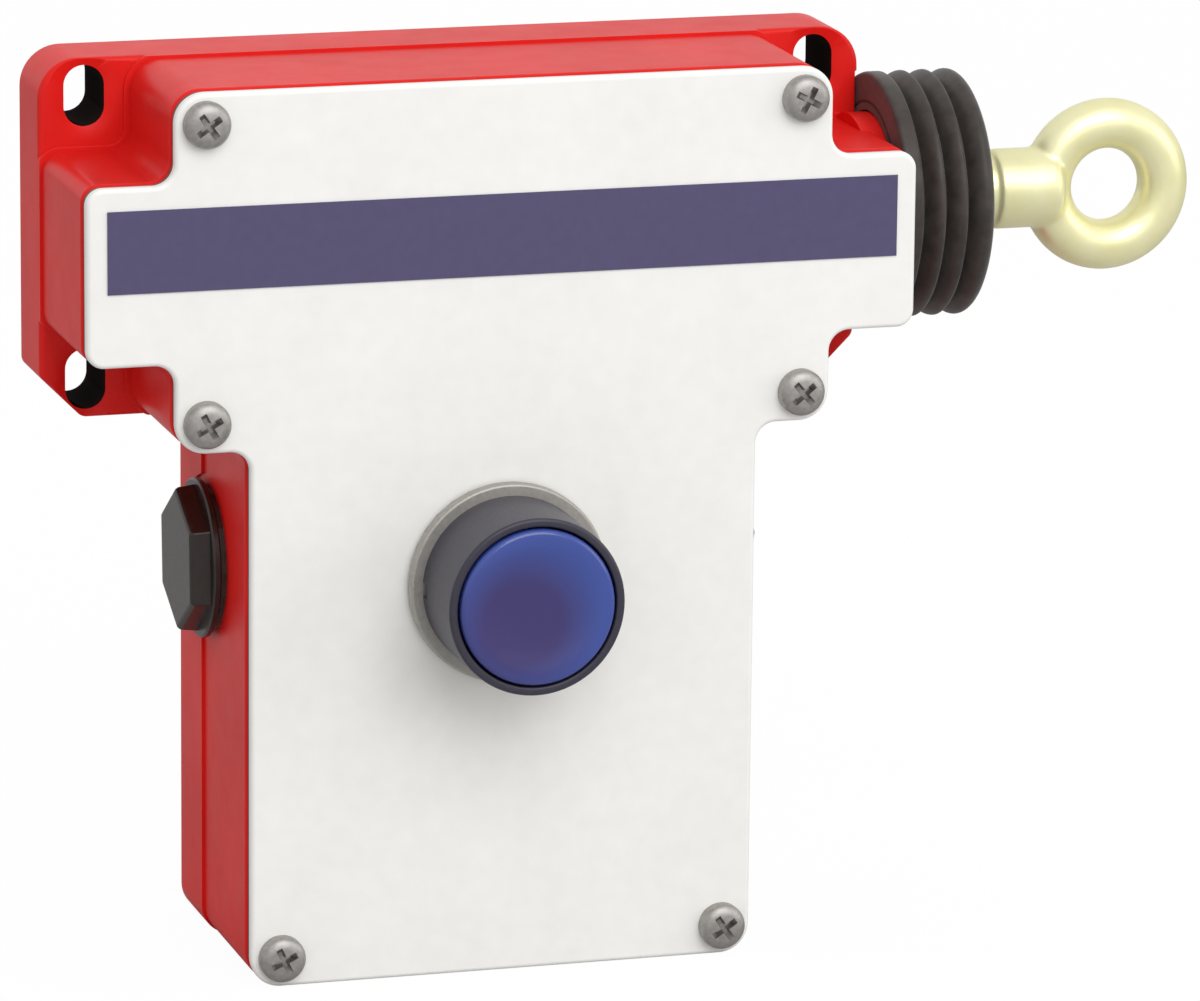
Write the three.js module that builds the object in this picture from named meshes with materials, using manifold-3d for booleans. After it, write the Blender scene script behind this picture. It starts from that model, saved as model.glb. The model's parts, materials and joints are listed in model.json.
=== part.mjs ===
// Rope pull switch with a reset button.
//
// A die-cast housing screws to a wall or machine frame by four lugs at its back. A rope hooked
// into the eye pulls a rod out of the head, against a strong spring. A cam on the rod turns a
// lever, the lever drives a link down, and the link opens two contact blocks. A latch catches
// the link until someone presses the button on the cover.
//
// Millimetres. X points along the rope, Z points up, and the cover faces -Y. The origin lies on
// the mounting plane, at the centre of the four fixing slots.

import * as THREE from 'three';
import { mergeVertices } from 'three/addons/utils/BufferGeometryUtils.js';
import Module from 'manifold-3d';

const wasm = await Module();
wasm.setup();

// Fits
const runningGap = 0.3; // between a shaft and its bore, and between a piece and its seat
const cutPast = 1; // how far a cutting shape reaches past the face that it opens

// Housing
const depth = 49.5; // mounting plane to the face of the cover
const bodyHalf = 44.3; // lower body, half width
const bodyDrop = 124.3; // slot centre down to the underside
const shoulder = 12.9; // how far the head stands out past the body
const cheek = 15.1; // how far the middle block stands out past the head
const noseHigh = 15.2; // middle block, half height
const brow = 15.4; // how far the head stands above the middle block
const wall = 3.5;
const backWall = 4;
const outerCorner = 5.2;
const innerCorner = 3.6;
const noseCorner = 3;
const roundLeast = 1;
const rimChamfer = 0.9;
const partingStep = 0.5; // the thick rear half stands out past the front half
const lugThick = 15.5;
const lugCorner = 7;
const rearFillet = 6;
const lugEdge = 1;
const spotMargin = 0.6; // flat pads round the plugs and the bellows

// Fixing slots
const slotSide = 7.6; // slot centre to the side of the middle block
const slotEnd = 6.1; // and to the top or the underside of the head
const slotWide = 7;
const slotTall = 10.5;
const dishWide = 2.6; // dished ring round each slot
const dishDeep = 0.9;

// Cover
const coverThick = 2.5;
const gasketThick = 1.5;
const gasketInset = 0.4;
const coverEdge = 0.8;
const bandSide = 3.5; // coloured band, in from the sides of the cover
const bandTop = 3.8; // and from the top of its widest stretch
const bandTall = 14;
const bandThick = 0.25;

// Cover screws
const screwInset = 5.2; // screw centre to the two edges beside it
const screwHead = 4;
const screwHeadHigh = 2.7;
const screwShank = 2;
const screwReach = 14; // thread below the cover face
const bossRadius = 5;

// Cable entries
const entryY = -19.5;
const entryZ = -55.8;
const entryThread = 10;
const entryBoss = 14;
const entryBossDeep = 4;
const plugFlange = 13.75;
const plugFlangeThick = 1.4;
const sealThick = 1;
const plugHex = 13.3;
const plugHexHigh = 3.5;
const plugTurnLeft = -12;
const plugTurnRight = 23;
const plugWall = 1.8;

// Pull line, the rod and what sits on it
const lineY = -22.5;
const lineZ = 2.5;
const rodRadius = 6;
const rodTail = 42; // rod on the far side of the spring bracket
const rodProud = 17.7; // rod end past the side of the housing
const shankRadius = 5;
const shankDeep = 26; // shank of the eye inside the rod
const neckRadius = 7;
const neckStart = 6.2; // neck of the eye past the rod end
const eyeStart = 26.2; // centre of the eye past the rod end
const eyeRing = 10.8; // centre of the eye to the middle of its round section
const eyeSection = 4.4;
const lockNutThick = 5.9;
const lockNutRadius = 9.8;

// Guide bush in the nose
const bushOuter = 7.8;
const bushFlangeThick = 2;
const noseBossRadius = 11.5;
const noseBossDeep = 4.8;
const noseCollar = 14.5;
const noseCollarLong = 2.7;

// Bellows
const bellowsRadius = 21.4;
const bellowsValley = 18.9;
const bellowsWall = 1.6;
const bellowsPitch = 3.3;
const bellowsRibs = 4;
const bellowsFlange = 1.6;
const cuffRadius = 8.6;
const cuffLong = 3.4;

// Spring and its bracket
const bracketX = -12; // face that the spring pushes on
const bracketThick = 3;
const bracketLow = -12;
const bracketHigh = 17;
const bracketFoot = 14;
const bracketScrewInset = 6;
const bracketReach = 33;
const springMean = 10.4;
const springWire = 1.4;
const springTurns = 5.5;
const seatThick = 3;
const seatRadius = 13.2;
const rodNutThick = 6;
const rodNutRadius = 10.4;

// Cam on the rod
const camLeft = -8;
const camHighEnd = 2;
const camLowStart = 12;
const camLowEnd = 14;
const camRight = 22;
const camHigh = 10.3;
const camLow = 7;
const camPinX = -3;
const camPinRadius = 1.5;
const camPinShort = 0.9; // how far the pin ends lie below the cam's surface

// Trip lever under the cam
const leverX = 32;
const leverZ = -16;
const leverHub = 5;
const leverPinRadius = 2.5;
const leverPinHead = 4.5;
const leverPinHeadThick = 2.2;
const leverBoss = 6;
const leverPinDeep = 8;
const leverWide = 12;
const armRound = 3;
const rollerRadius = 4;
const rollerWide = 6;
const rollerPinRadius = 1.5;
const leverNoseZ = -12;

// Contact link, which the lever pushes down
const linkHalf = 7.7;
const linkBack = -6.5;
const linkThick = 3;
const linkTabHalf = 5;
const linkTabFront = -27;
const linkFootHalf = 17;
const linkFootFront = -23;
const linkFootZ = -77;
const linkWindowHalf = 4.6;
const linkWindowLow = -31;
const linkWindowHigh = -25.5;

// Contact blocks
const blockInner = 3;
const blockOuter = 23;
const blockTop = -84;
const blockBottom = -118;
const blockFront = -34;
const blockShelf = -24;
const blockStep = -99;
const plateThick = 2;
const plateHalf = 31.5;
const plateTop = -82;
const plungerX = 13;
const plungerY = -20;
const plungerRadius = 2;
const plungerLong = 18;
const terminalSpread = 5;
const terminalZ = -108.5;
const terminalHead = 3.4;
const terminalDeep = 8;
const barrierHalf = 0.8;
const barrierHigh = 6;

// Latch
const latchY = -18.9;
const latchZ = -42;
const latchPinRadius = 1.5;
const latchPinHead = 2.4;
const latchHub = 3.5;
const latchHalf = 4;
const latchToeZ = -57;
const latchToeRound = 1.5;
const latchHookY = -11.5;
const latchHookZ = -34;
const channelHalf = 8; // inside of the latch bracket's channel
const channelSheet = 2;
const channelLow = -50;
const channelHigh = -34.6;
const channelFront = -23;
const channelBase = 1.5;
const channelFoot = 18;
const lipReach = 3;
const lipThick = 1.5;

// Reset button
const buttonZ = -55.3;
const panelHole = 11.25;
const neckOuter = 10.9;
const buttonSealThick = 0.8;
const ringRadius = 17.3;
const ringTop = 16.3;
const ringHigh = 3;
const sleeveRadius = 15.3;
const sleeveHigh = 20;
const sleeveWall = 1.5;
const sleeveFloor = 7.5;
const sleeveNeck = 13.5;
const capHigh = 20.7;
const capSkirt = 8.7;
const capTop = 3;
const capSkin = 1.5;
const capDish = 0.8;
const capGap = 0.35;
const stemRadius = 3;
const stemSocket = 5.5;
const stemSocketHigh = 3;
const clipRadius = 5.4;
const clipThick = 1;
const resetWire = 0.55;
const resetMean = 7.2;
const resetTurns = 4;
const buttonNut = 16.2;
const buttonNutThick = 5;
const notchWide = 2.4;
const notchDeep = 0.6;

// Small screws
const smallHead = 2.8;
const smallHeadHigh = 1.9;
const smallShank = 1.5;
const smallBite = 3;
const earthX = -30;
const earthZ = -76;
const earthBoss = 5;
const earthBossHigh = 5;
const earthClampHalf = 4.5;
const earthClampThick = 1.5;

// Sides of round faces
const fineRound = 32;
const plainRound = 20;
const smallRound = 12;
const pinRound = 8;

// Planes that several pieces share
const headHalf = bodyHalf + shoulder;
const noseHalf = headHalf + cheek;
const headHigh = noseHigh + brow;
const slotAcross = noseHalf - slotSide;
const slotUp = headHigh - slotEnd;
const rodLeft = bracketX - rodTail;
const rodRight = noseHalf + rodProud;
const shankLeft = rodRight - shankDeep;
const neckLeft = rodRight + neckStart;
const eyeX = rodRight + eyeStart;
const coverFace = -depth;
const coverBack = coverFace + coverThick;
const rimFace = coverBack + gasketThick;
const floorFace = -backWall;
const plateFace = floorFace - plateThick;
const lugFace = -lugThick;

const ACROSS = new THREE.Vector3(1, 0, 0);
const INWARD = new THREE.Vector3(0, 1, 0);
const UPWARD = new THREE.Vector3(0, 0, 1);

// Shared corner points and outward faces, which a closed body needs
function closed(geometry) {
  const bare = geometry.clone();
  bare.deleteAttribute('normal');
  bare.deleteAttribute('uv');
  const shared = mergeVertices(bare, 1e-4);
  const corner = (i) => new THREE.Vector3().fromBufferAttribute(shared.attributes.position, i);
  const kept = [];
  let volume = 0;
  const index = shared.index.array;
  for (let i = 0; i < index.length; i += 3) {
    const triple = [index[i], index[i + 1], index[i + 2]];
    if (new Set(triple).size === 3) {
      kept.push(triple);
      volume += corner(triple[0]).dot(corner(triple[1]).cross(corner(triple[2])));
    }
  }
  if (volume < 0) {
    kept.forEach((triple) => triple.reverse());
  }
  shared.setIndex(kept.flat());
  return shared;
}

function solid(geometry) {
  const body = closed(geometry);
  const vertProperties = Float32Array.from(body.attributes.position.array);
  const triVerts = Uint32Array.from(body.index.array);
  return new wasm.Manifold(new wasm.Mesh({ numProp: 3, vertProperties, triVerts }));
}

function surface(body) {
  const { vertProperties, triVerts } = body.getMesh();
  const geometry = new THREE.BufferGeometry();
  geometry.setAttribute('position', new THREE.BufferAttribute(vertProperties, 3));
  geometry.setIndex(Array.from(triVerts));
  return geometry;
}

function join(first, ...others) {
  return others.reduce((body, other) => body.add(solid(other)), solid(first));
}

function cut(body, ...tools) {
  return tools.reduce((left, tool) => left.subtract(solid(tool)), body);
}

// Outline through corners [across, up, radius], each rounded by an arc of its own
function outline(corners) {
  const shape = new THREE.Shape();
  const count = corners.length;
  corners.forEach(([x, y, radius], i) => {
    const corner = new THREE.Vector2(x, y);
    const before = new THREE.Vector2(...corners[(i + count - 1) % count]).sub(corner).normalize();
    const after = new THREE.Vector2(...corners[(i + 1) % count]).sub(corner).normalize();
    const half = Math.acos(before.dot(after)) / 2;
    const centre = before.clone().add(after).setLength(radius / Math.sin(half)).add(corner);
    const start = before.clone().multiplyScalar(radius / Math.tan(half)).add(corner).sub(centre);
    const end = after.clone().multiplyScalar(radius / Math.tan(half)).add(corner).sub(centre);
    shape.absarc(centre.x, centre.y, radius, start.angle(), end.angle(), start.cross(end) < 0);
  });
  shape.closePath();
  return shape;
}

function polygon(points) {
  return new THREE.Shape(points.map(([x, y]) => new THREE.Vector2(x, y)));
}

// Arm with two round ends, joined by the lines that touch both
function arm([ax, ay, aRadius], [bx, by, bRadius]) {
  const turn = Math.atan2(by - ay, bx - ax);
  const lean = Math.acos((aRadius - bRadius) / Math.hypot(bx - ax, by - ay));
  const shape = new THREE.Shape();
  shape.absarc(ax, ay, aRadius, turn + lean, turn - lean + 2 * Math.PI, false);
  shape.absarc(bx, by, bRadius, turn - lean, turn + lean, false);
  shape.closePath();
  return shape;
}

function slotShape(x, z, wide, tall) {
  const radius = wide / 2;
  const straight = tall / 2 - radius;
  return arm([x, z - straight, radius], [x, z + straight, radius]);
}

function mirrored(right) {
  return [...right, ...right.map(([x, ...rest]) => [-x, ...rest]).reverse()];
}

// Plate between two planes that face the front, from an outline of X and Z
function slab(shape, back, front, edge = 0, steps = 2) {
  const geometry = new THREE.ExtrudeGeometry(shape, {
    depth: back - front - 2 * edge,
    bevelEnabled: edge > 0,
    bevelThickness: edge,
    bevelSize: edge,
    bevelOffset: -edge,
    bevelSegments: 1,
    curveSegments: steps,
  });
  geometry.translate(0, 0, edge);
  geometry.rotateX(Math.PI / 2);
  geometry.translate(0, back, 0);
  return geometry;
}

// Bar along X from an outline of Y and Z
function slabAcross(shape, left, right, steps = 2) {
  const settings = { depth: right - left, bevelEnabled: false, curveSegments: steps };
  const geometry = new THREE.ExtrudeGeometry(shape, settings);
  geometry.applyMatrix4(new THREE.Matrix4().makeBasis(INWARD, UPWARD, ACROSS));
  geometry.translate(left, 0, 0);
  return geometry;
}

// Bar along Z from an outline of X and Y
function slabUp(shape, low, high) {
  const settings = { depth: high - low, bevelEnabled: false };
  const geometry = new THREE.ExtrudeGeometry(shape, settings);
  geometry.translate(0, 0, low);
  return geometry;
}

function box([left, right], [front, back], [low, high]) {
  const geometry = new THREE.BoxGeometry(right - left, back - front, high - low);
  geometry.translate((left + right) / 2, (front + back) / 2, (low + high) / 2);
  return geometry;
}

function peg(x, z, radius, back, front, sides = pinRound) {
  const geometry = new THREE.CylinderGeometry(radius, radius, back - front, sides);
  geometry.translate(x, (back + front) / 2, z);
  return geometry;
}

function pegAcross(y, z, radius, left, right, sides = pinRound) {
  const geometry = new THREE.CylinderGeometry(radius, radius, right - left, sides);
  geometry.rotateZ(-Math.PI / 2);
  geometry.translate((left + right) / 2, y, z);
  return geometry;
}

function pegUp(x, y, radius, low, high, sides = pinRound) {
  const geometry = new THREE.CylinderGeometry(radius, radius, high - low, sides);
  geometry.rotateX(Math.PI / 2);
  geometry.translate(x, y, (low + high) / 2);
  return geometry;
}

// Turned piece from points [along the axis, radius]; the axis is Y
function turned(profile, sides) {
  return new THREE.LatheGeometry(profile.map(([along, radius]) => new THREE.Vector2(radius, along)), sides);
}

// The same with its axis along X
function turnedAcross(profile, sides) {
  return turned(profile, sides).rotateZ(-Math.PI / 2);
}

// Ring profiles close on their first point
function ring(points) {
  return [...points, points[0]];
}

class Coil extends THREE.Curve {
  constructor(mean, low, high, turns) {
    super();
    Object.assign(this, { mean, low, high, turns });
  }

  getPoint(t, target = new THREE.Vector3()) {
    const angle = 2 * Math.PI * this.turns * t;
    const along = THREE.MathUtils.lerp(this.low, this.high, t);
    return target.set(this.mean * Math.cos(angle), along, this.mean * Math.sin(angle));
  }
}

// Round wire wound about Y between two planes
function coilSpring(mean, wire, low, high, turns, stepsPerTurn) {
  const section = new THREE.Shape().absarc(0, 0, wire, 0, 2 * Math.PI, false);
  return new THREE.ExtrudeGeometry(section, {
    curveSegments: 2.5,
    steps: Math.round(turns * stepsPerTurn),
    bevelEnabled: false,
    extrudePath: new Coil(mean, low + wire, high - wire, turns),
  });
}

// Materials
function finish(color, roughness, metalness) {
  return new THREE.MeshStandardMaterial({ color, roughness, metalness });
}
const redPaint = finish(0xb3151b, 0.32, 0);
const whitePaint = finish(0xe6e5e0, 0.5, 0);
const bandPaint = finish(0x5d5478, 0.55, 0);
const blackRubber = finish(0x2a2522, 0.7, 0);
const blackPlastic = finish(0x231e1d, 0.45, 0);
const darkPlastic = finish(0x3c3a44, 0.4, 0);
const bluePlastic = finish(0x3f3f8f, 0.25, 0);
const steel = finish(0xb9bcbf, 0.35, 1);
const yellowZinc = finish(0xe3dc9e, 0.3, 1);
const bronze = finish(0xa9793f, 0.4, 1);
const brass = finish(0xc2a25a, 0.35, 1);
const nickel = finish(0x9b9b94, 0.35, 1);
const ivoryPlastic = finish(0xd8d2c0, 0.5, 0);

const ropePullSwitch = new THREE.Group();

function add(parent, name, geometry, material) {
  const body = geometry.isBufferGeometry ? closed(geometry) : surface(geometry);
  body.computeVertexNormals();
  const mesh = new THREE.Mesh(body, material);
  mesh.name = name;
  parent.add(mesh);
  return mesh;
}

function groupAt(x, y, z) {
  const group = new THREE.Group();
  group.position.set(x, y, z);
  ropePullSwitch.add(group);
  return group;
}

// Outline of the housing's front, which the gasket and the cover share. A round corner is never
// longer than the step that it lies on.
function faceOutline(inset) {
  const fit = Math.min(1, Math.min(shoulder, cheek, brow) / (outerCorner + innerCorner));
  const round = Math.max(outerCorner * fit - inset, roundLeast);
  const noseRound = Math.max(noseCorner * fit - inset, roundLeast);
  const hollow = innerCorner * fit + inset;
  return outline(mirrored([
    [bodyHalf - inset, inset - bodyDrop, round],
    [bodyHalf - inset, inset - headHigh, hollow],
    [headHalf - inset, inset - headHigh, round],
    [headHalf - inset, inset - noseHigh, hollow],
    [noseHalf - inset, inset - noseHigh, noseRound],
    [noseHalf - inset, noseHigh - inset, noseRound],
    [headHalf - inset, noseHigh - inset, hollow],
    [headHalf - inset, headHigh - inset, round],
  ]));
}

// The thick rear half fills the four corners of the head, where the lugs are
function rearOutline() {
  return outline(mirrored([
    [bodyHalf + partingStep, -bodyDrop, outerCorner],
    [bodyHalf + partingStep, -headHigh - partingStep, rearFillet],
    [noseHalf + partingStep, -headHigh - partingStep, lugCorner],
    [noseHalf + partingStep, headHigh + partingStep, lugCorner],
  ]));
}

const headScrewX = headHalf - screwInset;
const headScrewZ = headHigh - screwInset;
const bodyScrewX = bodyHalf - screwInset;
const bodyScrewZ = screwInset - bodyDrop;
const coverScrews = [
  [-headScrewX, headScrewZ],
  [headScrewX, headScrewZ],
  [-headScrewX, -headScrewZ],
  [headScrewX, -headScrewZ],
  [-bodyScrewX, bodyScrewZ],
  [bodyScrewX, bodyScrewZ],
];

// Room inside the walls, without the six screw bosses
function hollowInside(back, front) {
  const posts = coverScrews.map(([x, z]) => {
    return peg(x, z, bossRadius, back + cutPast, front - cutPast, smallRound);
  });
  return cut(solid(slab(faceOutline(wall), back, front, 0, 1)), ...posts);
}

const camRollerZ = lineZ - camLow - runningGap - rollerRadius;
const bracketScrewX = bracketX + bracketThick + bracketFoot / 2;
const smallScrewPlaces = {
  spring_bracket_screw_upper: [bracketScrewX, bracketHigh - bracketScrewInset],
  spring_bracket_screw_lower: [bracketScrewX, bracketLow + bracketScrewInset],
  latch_bracket_screw_left: [-(channelHalf + channelSheet + channelFoot) / 2, latchZ],
  latch_bracket_screw_right: [(channelHalf + channelSheet + channelFoot) / 2, latchZ],
  plate_screw_left: [-(blockOuter + plateHalf) / 2, (plateTop + blockBottom) / 2],
  plate_screw_right: [(blockOuter + plateHalf) / 2, (plateTop + blockBottom) / 2],
};

function makeHousing() {
  const rear = slab(rearOutline(), 0, lugFace, lugEdge);
  const front = slab(faceOutline(0), lugFace / 2, rimFace, rimChamfer);
  const pads = [
    pegAcross(lineY, lineZ, bellowsRadius + spotMargin, noseHalf, noseHalf + 2 * partingStep, fineRound),
    pegAcross(entryY, entryZ, plugFlange + spotMargin, bodyHalf, bodyHalf + 2 * partingStep, plainRound),
    pegAcross(entryY, entryZ, plugFlange + spotMargin, -bodyHalf - 2 * partingStep, -bodyHalf, plainRound),
  ];
  const collar = pegAcross(lineY, lineZ, noseCollar, noseHalf - wall, noseHalf + noseCollarLong, fineRound);
  const outside = cut(join(rear, front), ...pads).add(solid(collar));
  const shell = outside.subtract(hollowInside(floorFace, rimFace - cutPast));

  const inner = [
    pegAcross(lineY, lineZ, noseBossRadius, noseHalf - wall - noseBossDeep, noseHalf - cutPast, plainRound),
    peg(leverX, leverZ, leverBoss, floorFace + cutPast, lineY + leverWide / 2 + runningGap, smallRound),
    peg(earthX, earthZ, earthBoss, floorFace + cutPast, floorFace - earthBossHigh, smallRound),
  ];
  for (const side of [-1, 1]) {
    const ends = [side * (bodyHalf - wall - entryBossDeep), side * (bodyHalf - cutPast)];
    inner.push(pegAcross(entryY, entryZ, entryBoss, Math.min(...ends), Math.max(...ends), plainRound));
  }
  const filled = inner.reduce((body, boss) => body.add(solid(boss)), shell);

  const bores = [
    pegAcross(lineY, lineZ, bushOuter + runningGap, noseHalf - 4 * wall, noseHalf + 2 * wall, plainRound),
    peg(leverX, leverZ, leverPinRadius + runningGap, -leverPinDeep + runningGap, -depth / 2, pinRound),
    peg(earthX, earthZ, smallShank + runningGap, floorFace, -depth / 2, pinRound),
  ];
  for (const side of [-1, 1]) {
    const ends = [side * (bodyHalf + wall), side * (bodyHalf - wall - 2 * entryBossDeep)];
    const radius = entryThread + runningGap;
    bores.push(pegAcross(entryY, entryZ, radius, Math.min(...ends), Math.max(...ends), plainRound));
    for (const level of [-1, 1]) {
      bores.push(slab(slotShape(side * slotAcross, level * slotUp, slotWide, slotTall), cutPast, -depth / 2));
      bores.push(dish(side * slotAcross, level * slotUp));
    }
  }
  for (const [x, z] of coverScrews) {
    bores.push(peg(x, z, screwShank + runningGap, coverFace + screwReach + runningGap, rimFace - cutPast));
  }
  for (const [x, z] of Object.values(smallScrewPlaces)) {
    bores.push(peg(x, z, smallShank + runningGap, floorFace + smallBite + runningGap, floorFace - cutPast));
  }
  return cut(filled, ...bores);
}

// Dished ring round a slot, as a plug that widens towards the front
function dish(x, z) {
  const geometry = new THREE.ExtrudeGeometry(slotShape(0, 0, slotWide, slotTall), {
    depth: dishDeep,
    bevelThickness: dishDeep,
    bevelSize: dishWide,
    bevelSegments: 1,
    curveSegments: 2,
  });
  geometry.rotateX(Math.PI / 2);
  geometry.translate(x, lugFace + dishDeep, z);
  return geometry;
}

add(ropePullSwitch, 'housing', makeHousing(), redPaint);

// Gasket and cover
function makeGasket() {
  const whole = solid(slab(faceOutline(gasketInset), rimFace, coverBack));
  const holes = coverScrews.map(([x, z]) => peg(x, z, screwShank + runningGap, rimFace + cutPast, coverBack - cutPast));
  return cut(whole.subtract(hollowInside(rimFace + cutPast, coverBack - cutPast)), ...holes);
}

function makeCover() {
  const whole = solid(slab(faceOutline(0), coverBack, coverFace, coverEdge));
  const holes = coverScrews.map(([x, z]) => {
    return peg(x, z, screwShank + runningGap, coverBack + cutPast, coverFace - cutPast);
  });
  const panel = peg(0, buttonZ, panelHole, coverBack + cutPast, coverFace - cutPast, plainRound);
  return cut(whole, panel, ...holes);
}

add(ropePullSwitch, 'cover_gasket', makeGasket(), blackRubber);
add(ropePullSwitch, 'cover_plate', makeCover(), whitePaint);

const bandHalf = noseHalf - bandSide;
const bandHigh = noseHigh - bandTop;
const bandFaces = [coverFace - bandThick, coverFace];
const band = box([-bandHalf, bandHalf], bandFaces, [bandHigh - bandTall, bandHigh]);
add(ropePullSwitch, 'cover_band', band, bandPaint);

// Pan head screw with a cross recess; its seat is at Y = 0 and its head at the front
function crossScrew(head, headHigh, shank, long) {
  const blank = turned([
    [-headHigh, 0],
    [-headHigh, head * 0.55],
    [-headHigh * 0.78, head * 0.86],
    [-headHigh * 0.35, head],
    [0, head],
    [0, shank],
    [long - shank / 2, shank],
    [long, shank / 2],
    [long, 0],
  ], smallRound);
  const recess = [head * 0.56, head * 0.13];
  const deep = [-headHigh - cutPast, -headHigh * 0.42];
  const bars = [
    box([-recess[0], recess[0]], deep, [-recess[1], recess[1]]),
    box([-recess[1], recess[1]], deep, [-recess[0], recess[0]]),
  ];
  return cut(solid(blank), ...bars);
}

// Slotted screw for inside work, seated like the cross screw
function slottedScrew(head, headHigh, shank, long) {
  const blank = turned([
    [-headHigh, 0],
    [-headHigh, head * 0.8],
    [-headHigh / 2, head],
    [0, head],
    [0, shank],
    [long, shank],
    [long, 0],
  ], pinRound);
  const slot = box([-head - cutPast, head + cutPast], [-headHigh - cutPast, -headHigh / 2], [-0.35, 0.35]);
  return cut(solid(blank), slot);
}

coverScrews.forEach(([x, z], i) => {
  const screw = crossScrew(screwHead, screwHeadHigh, screwShank, screwReach);
  add(groupAt(x, coverFace, z), `cover_screw_${i + 1}`, screw, steel);
});

// Cable entries, each with a hex plug over a sealing ring
for (const [side, name, turn] of [[-1, 'left', plugTurnLeft], [1, 'right', plugTurnRight]]) {
  const entry = groupAt(side * bodyHalf, entryY, entryZ);
  entry.rotation.z = -side * Math.PI / 2;
  const inside = -(wall + entryBossDeep);
  const flangeTop = sealThick + plugFlangeThick;
  const flange = turned([
    [inside, entryThread - plugWall],
    [inside, entryThread],
    [sealThick, entryThread],
    [sealThick, plugFlange],
    [flangeTop, plugFlange],
    [flangeTop, 0],
    [sealThick, 0],
    [sealThick, entryThread - plugWall],
    [inside, entryThread - plugWall],
  ], plainRound);
  const hex = new THREE.CylinderGeometry(plugHex * 0.96, plugHex, plugHexHigh, 6);
  hex.rotateY(THREE.MathUtils.degToRad(turn));
  hex.translate(0, flangeTop + plugHexHigh / 2 - 0.01, 0);
  add(entry, `entry_plug_${name}`, join(flange, hex), blackPlastic);
  const seal = turned(ring([
    [0, entryThread + runningGap],
    [0, plugFlange - 1],
    [sealThick, plugFlange - 1],
    [sealThick, entryThread + runningGap],
  ]), plainRound);
  add(entry, `entry_seal_${name}`, seal, blackRubber);
}

// Pull line
const line = groupAt(0, lineY, lineZ);

function hexNut(left, right, radius, bore) {
  const blank = new THREE.CylinderGeometry(radius, radius, right - left, 6);
  blank.rotateZ(-Math.PI / 2);
  blank.translate((left + right) / 2, 0, 0);
  return cut(solid(blank), pegAcross(0, 0, bore, left - cutPast, right + cutPast, smallRound));
}

// Forged eye on a round neck, with a threaded shank that screws into the rod
function makeEyeBolt() {
  const eye = new THREE.TorusGeometry(eyeRing, eyeSection, 12, 28);
  eye.rotateX(Math.PI / 2);
  eye.translate(eyeX, 0, 0);
  const ringLeft = eyeX - eyeRing;
  const stalk = turnedAcross([
    [shankLeft, 0],
    [shankLeft, shankRadius],
    [neckLeft, shankRadius],
    [neckLeft, neckRadius - 0.6],
    [neckLeft + 0.6, neckRadius],
    [ringLeft - eyeSection, neckRadius],
    [ringLeft - eyeSection / 2, neckRadius * 0.88],
    [ringLeft, neckRadius * 0.7],
    [ringLeft + eyeSection / 2, neckRadius * 0.35],
    [ringLeft + eyeSection / 2, 0],
  ], 24);
  return join(eye, stalk);
}

function makeRod() {
  const bore = shankRadius + runningGap;
  const blank = turnedAcross([
    [rodLeft, 0],
    [rodLeft, rodRadius - 1],
    [rodLeft + 1, rodRadius],
    [rodRight, rodRadius],
    [rodRight, bore],
    [shankLeft - 2, bore],
    [shankLeft - 2, 0],
  ], 24);
  return cut(solid(blank), pegUp(camPinX, 0, camPinRadius + runningGap, -2 * rodRadius, 2 * rodRadius));
}

// Cam sleeve: the groove between its two cones holds the roller
function makeCam() {
  const bore = rodRadius + runningGap;
  const sleeve = turnedAcross(ring([
    [camLeft, bore],
    [camLeft, camHigh],
    [camHighEnd, camHigh],
    [camLowStart, camLow],
    [camLowEnd, camLow],
    [camRight, camHigh],
    [camRight, bore],
  ]), 28);
  return cut(solid(sleeve), pegUp(camPinX, 0, camPinRadius + runningGap, -2 * camHigh, 2 * camHigh));
}

// Bellows: a flange over the nose collar, round ribs, and a cuff that grips the rod
function makeBellows() {
  const start = noseHalf + runningGap;
  const outside = [[start, bellowsRadius - 0.4], [start + bellowsFlange, bellowsRadius]];
  const inside = [[start, noseCollar + runningGap]];
  inside.push([start + noseCollarLong, noseCollar + runningGap]);
  for (let i = 0; i < bellowsRibs; i += 1) {
    const middle = start + bellowsFlange + bellowsPitch * (i + 0.5);
    outside.push([middle - bellowsPitch * 0.15, bellowsValley]);
    outside.push([middle + bellowsPitch * 0.2, bellowsRadius - 0.6]);
    outside.push([middle + bellowsPitch * 0.5, bellowsRadius]);
    inside.push([middle, bellowsValley - bellowsWall]);
    inside.push([middle + bellowsPitch * 0.5, bellowsRadius - bellowsWall]);
  }
  const end = start + bellowsFlange + bellowsPitch * bellowsRibs;
  const cuffStart = rodRight - cuffLong;
  outside.push([end + 0.9, bellowsRadius - 1]);
  outside.push([end + 1.6, bellowsRadius - 3]);
  outside.push([end + 1.8, cuffRadius + 2]);
  outside.push([rodRight - 0.2, cuffRadius - 0.8]);
  outside.push([rodRight - 0.2, rodRadius + runningGap]);
  inside.push([cuffStart, cuffRadius - 1]);
  inside.push([cuffStart, rodRadius + runningGap]);
  return turnedAcross(ring([...outside, ...inside.reverse()]), fineRound);
}

add(line, 'bellows', makeBellows(), blackRubber);
add(line, 'eye_bolt', makeEyeBolt(), yellowZinc);
add(line, 'lock_nut', hexNut(rodRight, rodRight + lockNutThick, lockNutRadius, shankRadius + runningGap), steel);
add(line, 'pull_rod', makeRod(), steel);

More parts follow.
